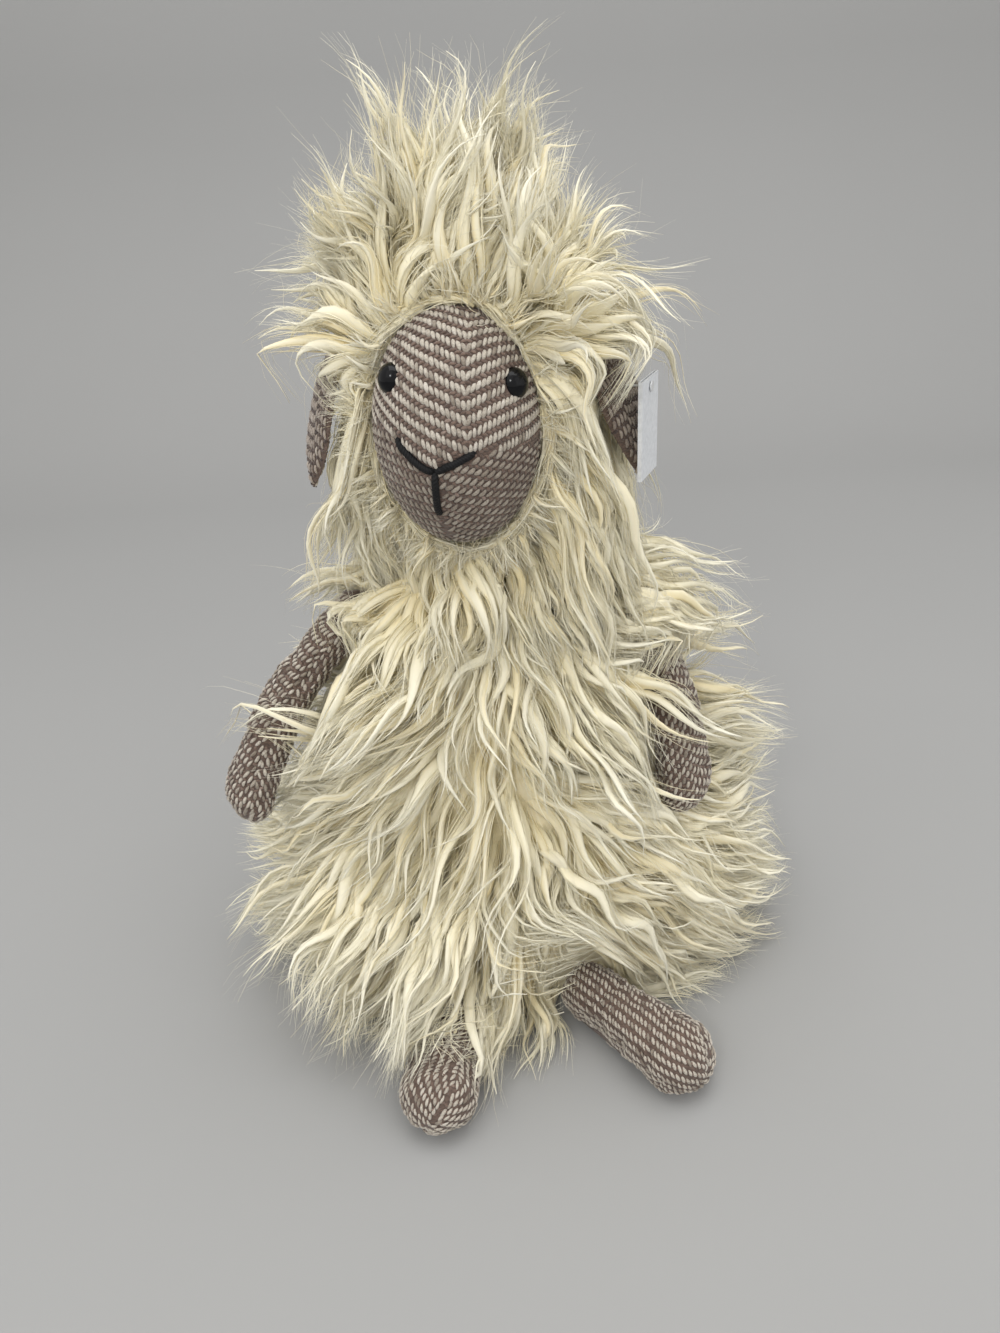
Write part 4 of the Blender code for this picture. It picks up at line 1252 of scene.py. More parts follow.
@dataclass
class WovenLimb:
    """An arm or a leg: a stuffed tube of two woven panels with a seam down each edge."""

    place: LimbPlace
    shape: LimbShape
    weave: Weave
    seed: int
    voxel: float = 4.0 * MM
    cap: float = 2.2 * MM
    seam_hold: float = 2.2 * MM
    root_hold: float = 6.0 * MM
    frames: int = 20
    root_share: float = 0.11
    filling_shares: Tuple[float, float] = (0.83, 0.97)

    def radius_at(self, s: Array) -> Array:
        """The limb's radius at shares of its length, round at the tip."""
        keys = np.array(self.shape.shares)
        body = np.interp(s, keys[:, 0], keys[:, 1]) * self.place.radius
        root = np.clip(-s / self.root_share, 0.0, 1.0)
        body = body * np.sqrt(1.0 - root ** 2)
        round_start = 1.0 - self.place.radius / self.place.length
        dome = np.sqrt(np.clip(1.0 - ((s - round_start) / (1.0 - round_start)) ** 2, 0.0, 1.0))
        return np.where(s > round_start, body * dome, body)

    def axes(self) -> Tuple[Array, Array, Array]:
        """The seam's direction, the panels' facing and the limb's length."""
        along = self.place.along
        hinge = self.place.hinge
        third = np.cross(along, hinge)
        turn = self.shape.seam_turn
        seam = hinge * math.cos(turn) + third * math.sin(turn)
        return seam, np.cross(along, seam), along

    def bent(self, points: Array) -> Array:
        """Bends the straight limb: it bows away from the body's middle."""
        along = self.place.along
        rel = points - self.place.pivot
        s = np.clip(rel @ along / self.place.length, 0.0, 1.0)
        bow = self.shape.bend * s * (1.0 - s) * 4.0
        return points + self.place.outward * bow[..., None]

    def straight_point(self, x: Array, face: float, s: Array) -> Array:
        """A point on a panel of the straight limb.

        Args:
            x: Distance from the limb's middle toward the seam.
            face: +1 for one panel and -1 for the other.
            s: Share of the length.

        Returns:
            World points.
        """
        seam, facing, along = self.axes()
        r = self.radius_at(s)
        y = np.sqrt(np.maximum(r ** 2 - x ** 2, 0.0))
        dip = self.shape.seam_depth * np.exp(-((y / (1.6 * MM)) ** 2))
        x = x - np.sign(x) * dip
        start = self.place.pivot
        return (
            start
            + seam * x[..., None]
            + facing * (face * y)[..., None]
            + along * (s * self.place.length)[..., None]
        )

    def form(self) -> bpy.types.Mesh:
        """The limb's closed form, from its root to its round tip."""
        rows = 44
        around = 40
        s = 1.0 - (1.0 + self.root_share) * (1.0 - np.linspace(0.0, 1.0, rows)) ** 1.5
        angle = ring(around)
        r = self.radius_at(s)
        grid = []
        for row in range(rows):
            x = r[row] * np.cos(angle)
            face = np.sign(np.sin(angle))
            grid.append(self.straight_point(x, face, np.full_like(x, s[row])))
        return grid_mesh("limb_form", self.bent(np.stack(grid)), True)

    def inflated(self, mesh: bpy.types.Mesh) -> bpy.types.Mesh:
        """Puffs the form out as cloth under pressure, with its seams held.

        Args:
            mesh: The limb's closed form.
        """
        worker = add_object("limb_cloth", mesh.copy())
        remesh = worker.modifiers.new("remesh", "REMESH")
        remesh.mode = "VOXEL"
        remesh.voxel_size = self.voxel
        bpy.context.view_layer.update()
        graph = bpy.context.evaluated_depsgraph_get()
        start = bpy.data.meshes.new_from_object(worker.evaluated_get(graph))
        worker.modifiers.clear()
        worker.data = start
        before = mesh_points(start)
        _, facing, along = self.axes()
        rel = before - self.place.pivot
        held = worker.vertex_groups.new(name="seam")
        near = np.abs(rel @ facing) < self.seam_hold
        near |= rel @ along < self.root_hold
        held.add([int(index) for index in np.nonzero(near)[0]], 1.0, "REPLACE")
        cloth = worker.modifiers.new("cloth", "CLOTH")
        for setting, value in LIMB_CLOTH.items():
            setattr(cloth.settings, setting, value)
        cloth.settings.effector_weights.gravity = 0.0
        scene = bpy.context.scene
        for frame_number in range(1, self.frames + 1):
            scene.frame_set(frame_number)
        graph = bpy.context.evaluated_depsgraph_get()
        result = bpy.data.meshes.new_from_object(worker.evaluated_get(graph))
        moved = mesh_points(result) - before
        size = np.linalg.norm(moved, axis=1, keepdims=True)
        moved *= np.minimum(1.0, self.cap / np.maximum(size, 1e-9))
        result.vertices.foreach_set("co", (before + moved).ravel())
        bpy.data.objects.remove(worker)
        scene.frame_set(1)
        return result

    def columns(self, tree: BVHTree) -> List[Column]:
        """The cloth's columns along the limb, laid on the simulated form.

        Args:
            tree: The form, ready for ray casts.

        Returns:
            Each column's line, normals, phase, and where it is on the panel.
        """
        found = []
        widest = self.place.radius * max(share for _, share in self.shape.shares)
        count = round(widest * math.pi / self.weave.pitch)
        pitch = widest * math.pi / count
        s = 1.0 - (1.0 - np.linspace(-0.04, 0.9995, 120)) ** 1.3
        for face in (1.0, -1.0):
            for index in range(count):
                distance = (index + 0.5) * pitch - widest * math.pi / 2.0
                r = np.maximum(self.radius_at(s), 0.1 * MM)
                inside = r * math.pi / 2.0 > abs(distance) + 0.35 * MM
                turn = np.clip(distance / r, -math.pi / 2.0, math.pi / 2.0)
                line = self.bent(self.straight_point(r * np.sin(turn), face, s))
                reach = (s * self.place.length * 0.93)[:, None]
                core = self.bent(self.place.pivot + self.place.along * reach)
                points = line.copy()
                normals = unit(line - core)
                for row in np.nonzero(inside)[0]:
                    way = Vector(unit(line[row] - core[row]))
                    hit, normal, _, _ = tree.ray_cast(Vector(core[row]), way)
                    if hit is not None:
                        points[row] = hit
                        normals[row] = normal
                phase = self.weave.step * index * face + self.seed * 1.1 * MM
                found += panel_column(points, normals, phase, inside, -0.8 * self.weave.lean * face)
        return found

    def filling(self) -> None:
        """The limb's stuffing, bent with its cloth and thin enough to stay inside it."""
        node = f"{self.place.name}_stuffing"
        mesh = bpy.data.objects[node].data.copy()
        along = self.place.along
        rel = node_points(node) - self.place.pivot
        width_share, length_share = self.filling_shares
        sideways = rel - (rel @ along)[:, None] * along
        s = np.clip(length_share * (rel @ along) / self.place.length, -0.6 * self.root_share, length_share)
        width = width_share * self.radius_at(s) / self.place.radius
        points = self.place.pivot + sideways * width[:, None] + along * (s * self.place.length)[:, None]
        mesh.vertices.foreach_set("co", self.bent(points).astype(np.float32).ravel())
        name = f"{self.place.name}_filling"
        piece = add_piece(name, mesh, self.place.name, FIBRE, [node])

    def build(self) -> None:
        """Builds the limb's filling, cloth and floats, all kept above the floor."""
        self.filling()
        form = self.form()
        cloth = self.inflated(form)
        name = f"{self.place.name}_cloth"
        cloth.name = name
        cloth.polygons.foreach_set("use_smooth", np.ones(len(cloth.polygons), bool))
        work = bmesh.new()
        work.from_mesh(cloth)
        bmesh.ops.smooth_vert(work, verts=work.verts, factor=0.4)
        for vertex in work.verts:
            vertex.co.z = max(vertex.co.z, FLOOR_GAP)
        tree = BVHTree.FromBMesh(work)
        work.to_mesh(cloth)
        work.free()
        piece = add_piece(name, cloth, self.place.name, GROUND, [f"{self.place.name}_cover"])
        stocks = self.weave.cover(self.columns(tree), self.seed)
        add_floats(self.place.name, self.place.name, (Tone.CREAM, Tone.TAUPE), stocks)


# Ears and tag


@dataclass
class WovenEar:
    """A drooping leaf-shaped ear of two woven layers, dark outside and paler inside."""

    side: Side
    place: LimbPlace
    width: float = 34.0 * MM
    cup: float = 4.0 * MM
    thickness: float = 1.9 * MM
    curl: float = 5.0 * MM

    def half_width(self, s: Array) -> Array:
        """Half the ear's width at shares of its length."""
        leaf = np.sin(math.pi * np.clip(s, 0.0, 1.0) ** 0.85) ** 0.8
        root = 0.42 * (1.0 - s) ** 1.5
        return self.width / 2.0 * np.maximum(leaf, root)

    def surface(self, u: Array, s: Array, layer: float) -> Array:
        """A point on one layer of the ear.

        Args:
            u: From -1 to 1 across the ear.
            s: Share of the length.
            layer: +1 for the outside and -1 for the inside.

        Returns:
            World points.
        """
        hinge = self.place.hinge
        along = self.place.along
        outward = -np.cross(along, hinge)
        half = self.half_width(s)
        bow = self.cup * np.sin(math.pi * s) * (1.0 - u ** 2) - self.curl * s ** 2 * 0.4
        round_off = np.sqrt(np.clip(1.0 - u ** 2, 0.0, 1.0)) * np.sqrt(np.clip(1.0 - s ** 8, 0.0, 1.0))
        puff = self.thickness * round_off
        wave = 0.8 * MM * np.sin(9.0 * s + 2.0 * u)
        return (
            self.place.pivot
            + hinge * (u * half)[..., None]
            + along * (s * self.place.length)[..., None]
            + outward * (bow + wave * s + layer * puff)[..., None]
        )

    def mesh(self, name: str) -> bpy.types.Mesh:
        """Both layers as one closed pillow."""
        angle = ring(40)
        u, s = np.meshgrid(np.cos(angle), np.linspace(-0.06, 0.998, 34))
        return grid_mesh(name, capped(self.surface(u, s, np.sign(np.sin(angle)))), True)

    def columns(self, layer: float) -> List[Column]:
        """The cloth's columns along one layer of the ear."""
        found = []
        count = int(self.width / 2.0 / WEAVE.pitch)
        s = np.linspace(0.02, 0.985, 90)
        for index in range(-count, count + 1):
            x = index * WEAVE.pitch
            half = np.maximum(self.half_width(s), 1e-6)
            u = np.clip(x / half, -0.97, 0.97)
            inside = np.abs(x) < half * 0.95
            line = self.surface(u, s, layer)
            step = 0.01
            side_step = self.surface(u + step, s, layer) - self.surface(u - step, s, layer)
            normal = unit(np.cross(side_step, np.gradient(line, axis=0)))
            outward = -np.cross(self.place.along, self.place.hinge) * layer
            normal *= np.sign(normal @ outward)[:, None]
            found += panel_column(line, normal, WEAVE.step * abs(index), inside, 0.0)
        return found

    def build(self) -> None:
        """Builds the ear's cloth and its floats."""
        label = self.side.label
        body = f"ear_{label}"
        name = f"ear_{label}_cloth"
        nodes = [f"ear_{label}_outer", f"ear_{label}_lining"]
        piece = add_piece(name, self.mesh(name), body, GROUND, nodes)
        for layer, word, pale in ((1.0, "outer", Tone.GREY), (-1.0, "lining", Tone.CREAM)):
            stocks = WEAVE.cover(self.columns(layer), 40 + int(layer))
            add_floats(f"ear_{label}_{word}", body, (pale, Tone.DARK), stocks)


# Fleece


@dataclass(frozen=True)
class LockStyle:
    """How the locks of one area are built and wave."""

    steps: int = 15
    sides: int = 8
    strands: int = 9
    strand_radius: float = 0.32 * MM
    wave_length: float = 50.0 * MM
    wave_size: float = 5.8 * MM
    flatness: float = 0.5
    core: float = 0.78
    stray: float = 0.20
    stray_reach: float = 16.0 * MM
    tuft_size: int = 5
    tuft_pull: float = 0.55
    crossing: float = 0.12


@dataclass
class LockField:
    """The lines of many locks, and the tuft that each one belongs to."""

    paths: Array
    lengths: Array
    widths: Array
    tuft: Array

    @classmethod
    def gathered(
        cls, paths: Array, lengths: Array, widths: Array, style: LockStyle, seed: int
    ) -> "LockField":
        """Groups locks into tufts and draws each toward its tuft's middle lock.

        Args:
            paths: The locks' lines as (count, points, 3).
            lengths: Their lengths.
            widths: Their half widths.
            style: The locks' style.
            seed: Which random choice of middle locks.

        Returns:
            The gathered lines.
        """
        draw = np.random.default_rng(seed)
        leaders = draw.choice(len(paths), max(len(paths) // style.tuft_size, 1), replace=False)
        gap = np.linalg.norm(paths[:, None, 0] - paths[None, leaders, 0], axis=-1)
        tuft = np.argmin(gap, axis=1)
        lead = paths[leaders][tuft]
        share = np.linspace(0.0, 1.0, paths.shape[1])[None, :, None]
        pull = style.tuft_pull * draw.uniform(0.5, 1.3, (len(paths), 1, 1)) * share ** 1.3
        target = lead + 0.3 * (paths[:, :1] - lead[:, :1])
        return cls(paths * (1.0 - pull) + target * pull, lengths, widths, tuft)

    def part(self, chosen: Array) -> "LockField":
        """The chosen locks alone."""
        return LockField(self.paths[chosen], self.lengths[chosen], self.widths[chosen], self.tuft[chosen])


@dataclass
class Fleece:
    """Locks grown along lines: each a fluted core that ends in finer strands."""

    style: LockStyle
    seed: int

    def wave(self, locks: LockField, draw: np.random.Generator) -> Tuple[Array, Array]:
        """Waves each lock about its line, in step with its tuft.

        Args:
            locks: The locks.
            draw: The random source.

        Returns:
            The waved lines and the direction of each lock's width.
        """
        paths = locks.paths
        count, length, _ = paths.shape
        shared = np.random.default_rng(7)
        groups = int(locks.tuft.max()) + 1
        tuft_hint = shared.normal(size=(groups, 3))[locks.tuft]
        tuft_pitch = shared.uniform(0.75, 1.4, groups)[locks.tuft]
        tuft_start = shared.uniform(0.0, 2.0 * math.pi, groups)[locks.tuft]
        share = np.linspace(0.0, 1.0, length)[None, :]
        hint = unit(tuft_hint + 0.35 * draw.normal(size=(count, 3)))[:, None, :]
        first, second = frame_across(tangents_of(paths), np.broadcast_to(hint, paths.shape))
        pitch = self.style.wave_length * (tuft_pitch * draw.uniform(0.9, 1.12, count))[:, None]
        start = (tuft_start + draw.normal(0.0, 0.5, count))[:, None]
        turn = 2.0 * math.pi * share * locks.lengths[:, None] / pitch + start
        size = self.style.wave_size * draw.uniform(0.5, 1.35, (count, 1)) * smoothstep(0.02, 0.45, share)
        waved = paths + first * (size * np.sin(turn))[..., None]
        waved = waved + second * (0.6 * size * np.cos(turn))[..., None]
        roll = turn * 0.3
        return waved, first * np.cos(roll)[..., None] + second * np.sin(roll)[..., None]

    def core(
        self, waved: Array, half: Array, first: Array, tone: Array, draw: np.random.Generator
    ) -> MeshStock:
        """The fluted middle of each lock, with a tone for each ridge that is random and lower on ridges sunk
        toward the middle, as painted shade in the lock's grooves.

        Args:
            waved: The locks' lines.
            half: Their half widths along them.
            first: The direction of their width.
            tone: Each lock's tone.
            draw: The random source.

        Returns:
            The cores' faces.
        """
        count, length, _ = waved.shape
        sides = self.style.sides
        stock = sweep(waved, half, half * self.style.flatness, first, sides, tone)
        ridge = draw.uniform(0.72, 1.12, (count, 1, sides, 1))
        rings = stock.points.reshape(count, length, sides, 3)
        middle = waved[:, :, None, :]
        stock.points = (middle + (rings - middle) * ridge).reshape(-1, 3)
        # Each ridge's tone varies at random and drops the deeper the ridge is sunk: painted shade in the
        # lock's grooves.
        streak_and_groove_shade = draw.normal(0.0, 0.16, (count, 1, sides)) + (ridge[..., 0] - 0.9)
        marks = stock.marks.reshape(count, length, sides, 2)
        marks[..., 0] = np.clip(marks[..., 0] + streak_and_groove_shade, 0.0, 1.0)
        stock.marks = marks.reshape(-1, 2)
        return stock

    def stock(self, locks: LockField, clear: Clearance) -> MeshStock:
        """Turns lines into locks.

        Args:
            locks: The locks.
            clear: Moves points out of the face, limbs and floor.

        Returns:
            The locks' faces.
        """
        draw = np.random.default_rng(self.seed)
        waved, way = self.wave(locks, draw)
        count, length, _ = waved.shape
        crosses = np.random.default_rng(19).uniform(size=int(locks.tuft.max()) + 1) < self.style.crossing
        loose = crosses[locks.tuft]
        waved = clear(eased(clear(waved, loose), 2), loose)
        share = np.linspace(0.0, 1.0, length)[None, :]
        swell = (0.45 + 0.65 * np.sin(math.pi * np.minimum(share * 1.02, 1.0) ** 0.7)) * (1.0 - share ** 2.2)
        half = locks.widths[:, None] * (0.05 + swell)
        first, second = frame_across(tangents_of(waved), way)
        tone = draw.uniform(0.1, 1.0, count)
        stocks = [self.core(waved, half * self.style.core, first, tone, draw)]
        for strand in range(self.style.strands):
            free = strand == 0
            stray = self.style.stray * (3.0 if free else 1.0)
            spot = draw.uniform(-1.0, 1.0, count)
            rim = np.sqrt(np.clip(1.0 - spot ** 2, 0.1, 1.0)) * draw.choice([-1.0, 1.0], count)
            spread = 1.0 + share ** 1.5 * draw.uniform(0.3, 1.8, count)[:, None]
            drifts = (stray * draw.normal(0.0, 1.0, (count, 1)) * share ** 2.2 for _ in range(2))
            aside, above = (drifted * self.style.stray_reach for drifted in drifts)
            line = stretched(waved, draw.uniform(0.85, 1.12, count))
            line = line + first * (half * spot[:, None] * spread + aside)[..., None]
            line = line + second * (half * self.style.flatness * rim[:, None] * spread + above)[..., None]
            line = eased(clear(line, loose), 1)
            thin = self.style.strand_radius * (0.5 if free else 1.35 - 0.12 * strand)
            thick = thin * draw.uniform(0.7, 1.3, (count, 1)) * (1.0 - 0.88 * share ** 1.6)
            strand_tone = np.clip(tone + draw.normal(0.0, 0.2, count), 0.0, 1.0)
            stocks.append(sweep(line, thick, thick, first, 3, strand_tone))
        return merged(stocks)

    def add(self, name: str, body: str, locks: LockField, clear: Clearance) -> None:
        """Builds locks as one piece of wool on a body."""
        add_piece(name, self.stock(locks, clear).mesh(name), body, WOOL)


@dataclass
class Obstacles:
    """What the fleece parts around: the limbs, the face and the floor, within the part's box."""

    capsules: List[Capsule]
    head: HeadPlace
    form: FaceForm
    low: Array
    high: Array
    floor: float = 4.0 * MM
    limb_margin: float = 1.6 * MM
    face_margin: float = 1.0 * MM
    face_front: float = 4.0 * MM

    def face_push(self, points: Array, margin: float) -> Array:
        """Moves points off the face and out of the way in front of it."""
        local = self.head.into(points) - self.form.centre
        rx, _, rz = self.form.radii
        scaled = np.stack([local[..., 0] / (rx + margin), local[..., 2] / (rz + margin)], axis=-1)
        reach = np.linalg.norm(scaled, axis=-1)
        front = local[..., 1] < self.face_front
        grow = np.where(front & (reach < 1.0), 1.0 / np.maximum(reach, 0.05), 1.0)
        local[..., 0] *= grow
        local[..., 2] *= grow
        return self.head.out(local + self.form.centre)

    def clear(self, lines: Array, over: Array) -> Array:
        """Moves lines out of every obstacle.

        Args:
            lines: Lines as (count, points, 3).
            over: True for each line that may cross over a limb.

        Returns:
            The cleared lines.
        """
        for capsule in self.capsules:
            lines = capsule.part(lines, self.limb_margin, over)
        lines = self.face_push(lines, self.face_margin)
        root = lines[:, :1]
        for limit, sign in ((self.high, 1.0), (self.low, -1.0)):
            room = np.maximum(sign * (limit - root), 1e-6)
            reach = sign * (lines - root)
            most = reach.max(axis=1, keepdims=True)
            shrink = np.minimum(1.0, room / np.maximum(most, 1e-9))
            lines = root + (lines - root) * np.where(reach > 0.0, shrink, 1.0)
        lines[..., 2] = np.maximum(lines[..., 2], self.floor)
        return lines

    def room(self, points: Array) -> Array:
        """How far each point is from the nearest limb's cloth."""
        least = np.full(points.shape[:-1], 1.0)
        for capsule in self.capsules:
            least = np.minimum(least, capsule.distance(points) - capsule.radius)
        return least


@dataclass
class BodyFleece:
    """The body's pear-shaped hide and the long locks that hang from it."""

    obstacles: Obstacles
    half_width: float
    half_depth: float
    height: float
    lean: Array
    count: int = 2350
    lock_length: float = 78.0 * MM
    lock_width: float = 4.3 * MM
    pile: float = 9.0 * MM
    hub: Tuple[float, float] = (-5.0 * MM, 178.0 * MM)
    style: LockStyle = LockStyle(crossing=0.18)
    skirt_slope: float = 0.9
    skirt_unevenness: float = 6.0 * MM
    skirt: Sequence[Tuple[float, float]] = (
        (-132.0, 30.0), (-101.0, 60.0), (-66.0, 87.0), (-5.0, 110.0),
        (30.0, 84.0), (96.0, 66.0), (124.0, 30.0),
    )
    shares: Sequence[Tuple[float, float]] = (
        (0.0, 0.86), (0.05, 0.96), (0.16, 1.0), (0.30, 0.95), (0.44, 0.84),
        (0.60, 0.70), (0.74, 0.63), (0.86, 0.57), (0.93, 0.42), (0.97, 0.28),
    )

    def width_at(self, z: Array) -> Array:
        """The hide's half width at heights, as a share of the widest."""
        keys = np.array(self.shares)
        return np.interp(z / self.height, keys[:, 0], keys[:, 1])

    def hide_point(self, angle: Array, z: Array) -> Array:
        """A point on the hide at angles round it and heights up it."""
        share = self.width_at(z)
        lean = (z / self.height)[..., None] * self.lean
        x = self.half_width * share * np.sin(angle)
        y = -self.half_depth * share * np.cos(angle)
        return np.stack([x, y, z], axis=-1) + lean

    def hide_normal(self, angle: Array, z: Array) -> Array:
        """The hide's outward direction at angles and heights."""
        turn = self.hide_point(angle + 0.02, z) - self.hide_point(angle - 0.02, z)
        rise = self.hide_point(angle, z + 2 * MM) - self.hide_point(angle, z - 2 * MM)
        return unit(np.cross(turn, rise))

    def hide(self) -> None:
        """The knitted backing, over the body's stuffing."""
        angle, z = np.meshgrid(ring(140), np.linspace(0.6 * MM, self.height * 0.965, 90))
        grid = self.hide_point(angle, z)
        depth = np.clip(self.obstacles.room(grid) - 1.0 * MM, 0.6 * MM, self.pile)
        depth = depth * smoothstep(1.02, 0.80, z / self.height) * (0.84 + 0.16 * soft_noise(grid, 16 * MM, 8))
        grid = grid + self.hide_normal(angle, z) * (depth + 0.6 * MM)[..., None]
        grid[..., 2] = np.maximum(grid[..., 2], 0.5 * MM)
        mesh = grid_mesh("body_hide", capped(grid), True)
        nodes = ["body_fur_front", "body_fur_back", "body_base_panel"]
        piece = add_piece("body_hide", mesh, "body", HIDE, nodes)

    def roots(self, draw: np.random.Generator) -> Tuple[Array, Array]:
        """Evenly spread places on the hide, as angles and heights."""
        z = np.linspace(3 * MM, self.height * 0.955, 400)
        weight = np.cumsum(self.width_at(z) + 0.10)
        weight /= weight[-1]
        order = (np.arange(self.count) + draw.uniform(0.0, 1.0, self.count)) / self.count
        heights = np.interp(order, weight, z)
        turns = np.arange(self.count) * GOLDEN_TURN + draw.normal(0.0, 0.05, self.count)
        angles = np.mod(turns, 2.0 * math.pi)
        angles = np.where(angles > math.pi, angles - 2.0 * math.pi, angles)
        return angles, heights

    def lap(self, roots: Array, normals: Array) -> Array:
        """The share, from 0 to 1, in which a lock belongs to those that lie over the right leg."""
        up_share = roots[:, 2] / self.height
        low = smoothstep(0.52, 0.36, up_share) * smoothstep(0.06, 0.15, up_share)
        across = smoothstep(26 * MM, 8 * MM, roots[:, 0]) * smoothstep(-78 * MM, -55 * MM, roots[:, 0])
        return smoothstep(-0.4, -0.8, normals[:, 1]) * low * across

    def grow(self, roots: Array, normals: Array, lengths: Array) -> Array:
        """Follows each lock from its root out and down.

        Args:
            roots: Where the locks start.
            normals: The hide's outward direction there.
            lengths: The locks' lengths.

        Returns:
            The lines as (count, points, 3).
        """
        up_share = roots[:, 2] / self.height
        sideways = np.cross(UP, normals)
        front = smoothstep(0.25, -0.6, normals[:, 1])
        flat = np.stack([roots[:, 0] - self.hub[0], roots[:, 2] - self.hub[1]], axis=-1)
        below = np.where(flat[:, 1] < 0.0, -flat[:, 1] * 0.50, flat[:, 1] * 0.35) + 11 * MM
        run = np.hypot(flat[:, 0], below)
        part = flat[:, 0] / run * front
        sag = below / run * front + (1.0 - front) * 0.5
        swirl = 0.42 * soft_noise(roots, 60 * MM, 3) + 0.30 * soft_noise(roots, 10 * MM, 7)
        flare = smoothstep(0.3, 0.9, np.abs(normals[:, 0])) * smoothstep(-0.15, 0.15, up_share)
        flare = flare * smoothstep(1.0, 0.72, up_share)
        lap = self.lap(roots, normals)
        part = part * (1.0 - 0.8 * lap)
        lay = -UP * (sag * (1.0 - 0.5 * flare))[:, None] + sideways * (1.1 * part + swirl)[:, None]
        way = unit(normals * (0.80 + 0.35 * flare + 0.25 * lap)[:, None] + lay * (0.95 - 0.30 * lap)[:, None])
        droop = (0.072 + 0.050 * soft_noise(roots, 45 * MM, 4)) * (1.0 - 0.55 * flare - 0.4 * lap)
        lift = np.maximum(0.16 * soft_noise(roots, 38 * MM, 6), 0.0)

        def bend(point: Array, share: float) -> Array:
            """How the locks droop, wander and turn up at their tips."""
            wander = 0.05 * part + 0.08 * soft_noise(point, 40 * MM, 5)
            rise = lift * smoothstep(0.45, 1.0, share) - droop * (1.0 - 0.5 * share)
            return sideways * wander[:, None] + UP * rise[:, None]

        return grown(roots, way, lengths, self.style.steps, bend, 5.0 * MM)

    def skirted(self, paths: Array, lengths: Array, draw: np.random.Generator) -> Tuple[Array, Array]:
        """Ends each lock at the fleece's lower edge, which slopes back toward the floor.

        Args:
            paths: The locks' lines, as (count, points, 3).
            lengths: The locks' lengths.
            draw: Where the edge's unevenness comes from.

        Returns:
            The shortened lines and their lengths.
        """
        keys = np.array(self.skirt) * MM
        edge = np.interp(paths[..., 0], keys[:, 0], keys[:, 1])
        edge = edge + draw.normal(0.0, self.skirt_unevenness, (len(paths), 1))
        beyond = -paths[..., 1] - self.skirt_slope * paths[..., 2] > edge
        last = paths.shape[1] - 1
        share = np.where(beyond.any(axis=1), np.maximum(beyond.argmax(axis=1), 4) / last, 1.0)
        return stretched(paths, share), lengths * share

    def build(self) -> None:
        """Builds the hide and the locks, in sectors round and up the body."""
        self.hide()
        draw = np.random.default_rng(21)
        angles, heights = self.roots(draw)
        roots = self.hide_point(angles, heights)
        normals = self.hide_normal(angles, heights)
        up_share = heights / self.height
        low = smoothstep(0.25, 0.0, up_share)
        left_shoulder = smoothstep(0.45, 0.8, up_share) * smoothstep(0.0, 0.7, normals[:, 0])
        behind_arm = smoothstep(-0.5, -0.85, normals[:, 0]) * smoothstep(0.35, 0.5, up_share)
        lengths = self.lock_length * draw.uniform(0.72, 1.12, self.count) * (1.0 - 0.22 * low)
        lengths = lengths * (1.0 + 0.20 * left_shoulder) * (1.0 - 0.42 * behind_arm)
        lengths = lengths * (1.0 + 0.80 * self.lap(roots, normals))
        lengths = lengths * (1.0 + 0.35 * (draw.uniform(0.0, 1.0, self.count) < 0.12))
        widths = self.lock_width * draw.uniform(0.55, 1.15, self.count)
        widths = widths * (1.0 + 0.45 * (draw.uniform(0.0, 1.0, self.count) < 0.22))
        paths, lengths = self.skirted(self.grow(roots, normals, lengths), lengths, draw)
        locks = LockField.gathered(paths, lengths, widths, self.style, 24)
        sectors = {
            "front_left": (angles >= 0.0) & (angles < 0.8),
            "front_right": (angles < 0.0) & (angles > -0.8),
            "left": (angles >= 0.8) & (angles < 2.2),
            "right": (angles <= -0.8) & (angles > -2.2),
            "back_left": angles >= 2.2,
            "back_right": angles <= -2.2,
        }
        bands = {
            "lower": up_share < 0.28,
            "middle": (up_share >= 0.28) & (up_share < 0.6),
            "upper": up_share >= 0.6,
        }
        areas = product(sectors.items(), bands.items())
        for seed, ((sector, in_sector), (band, in_band)) in enumerate(areas, 61):
            chosen = locks.part(in_sector & in_band)
            Fleece(self.style, seed).add(f"body_fleece_{sector}_{band}", "body", chosen, self.obstacles.clear)


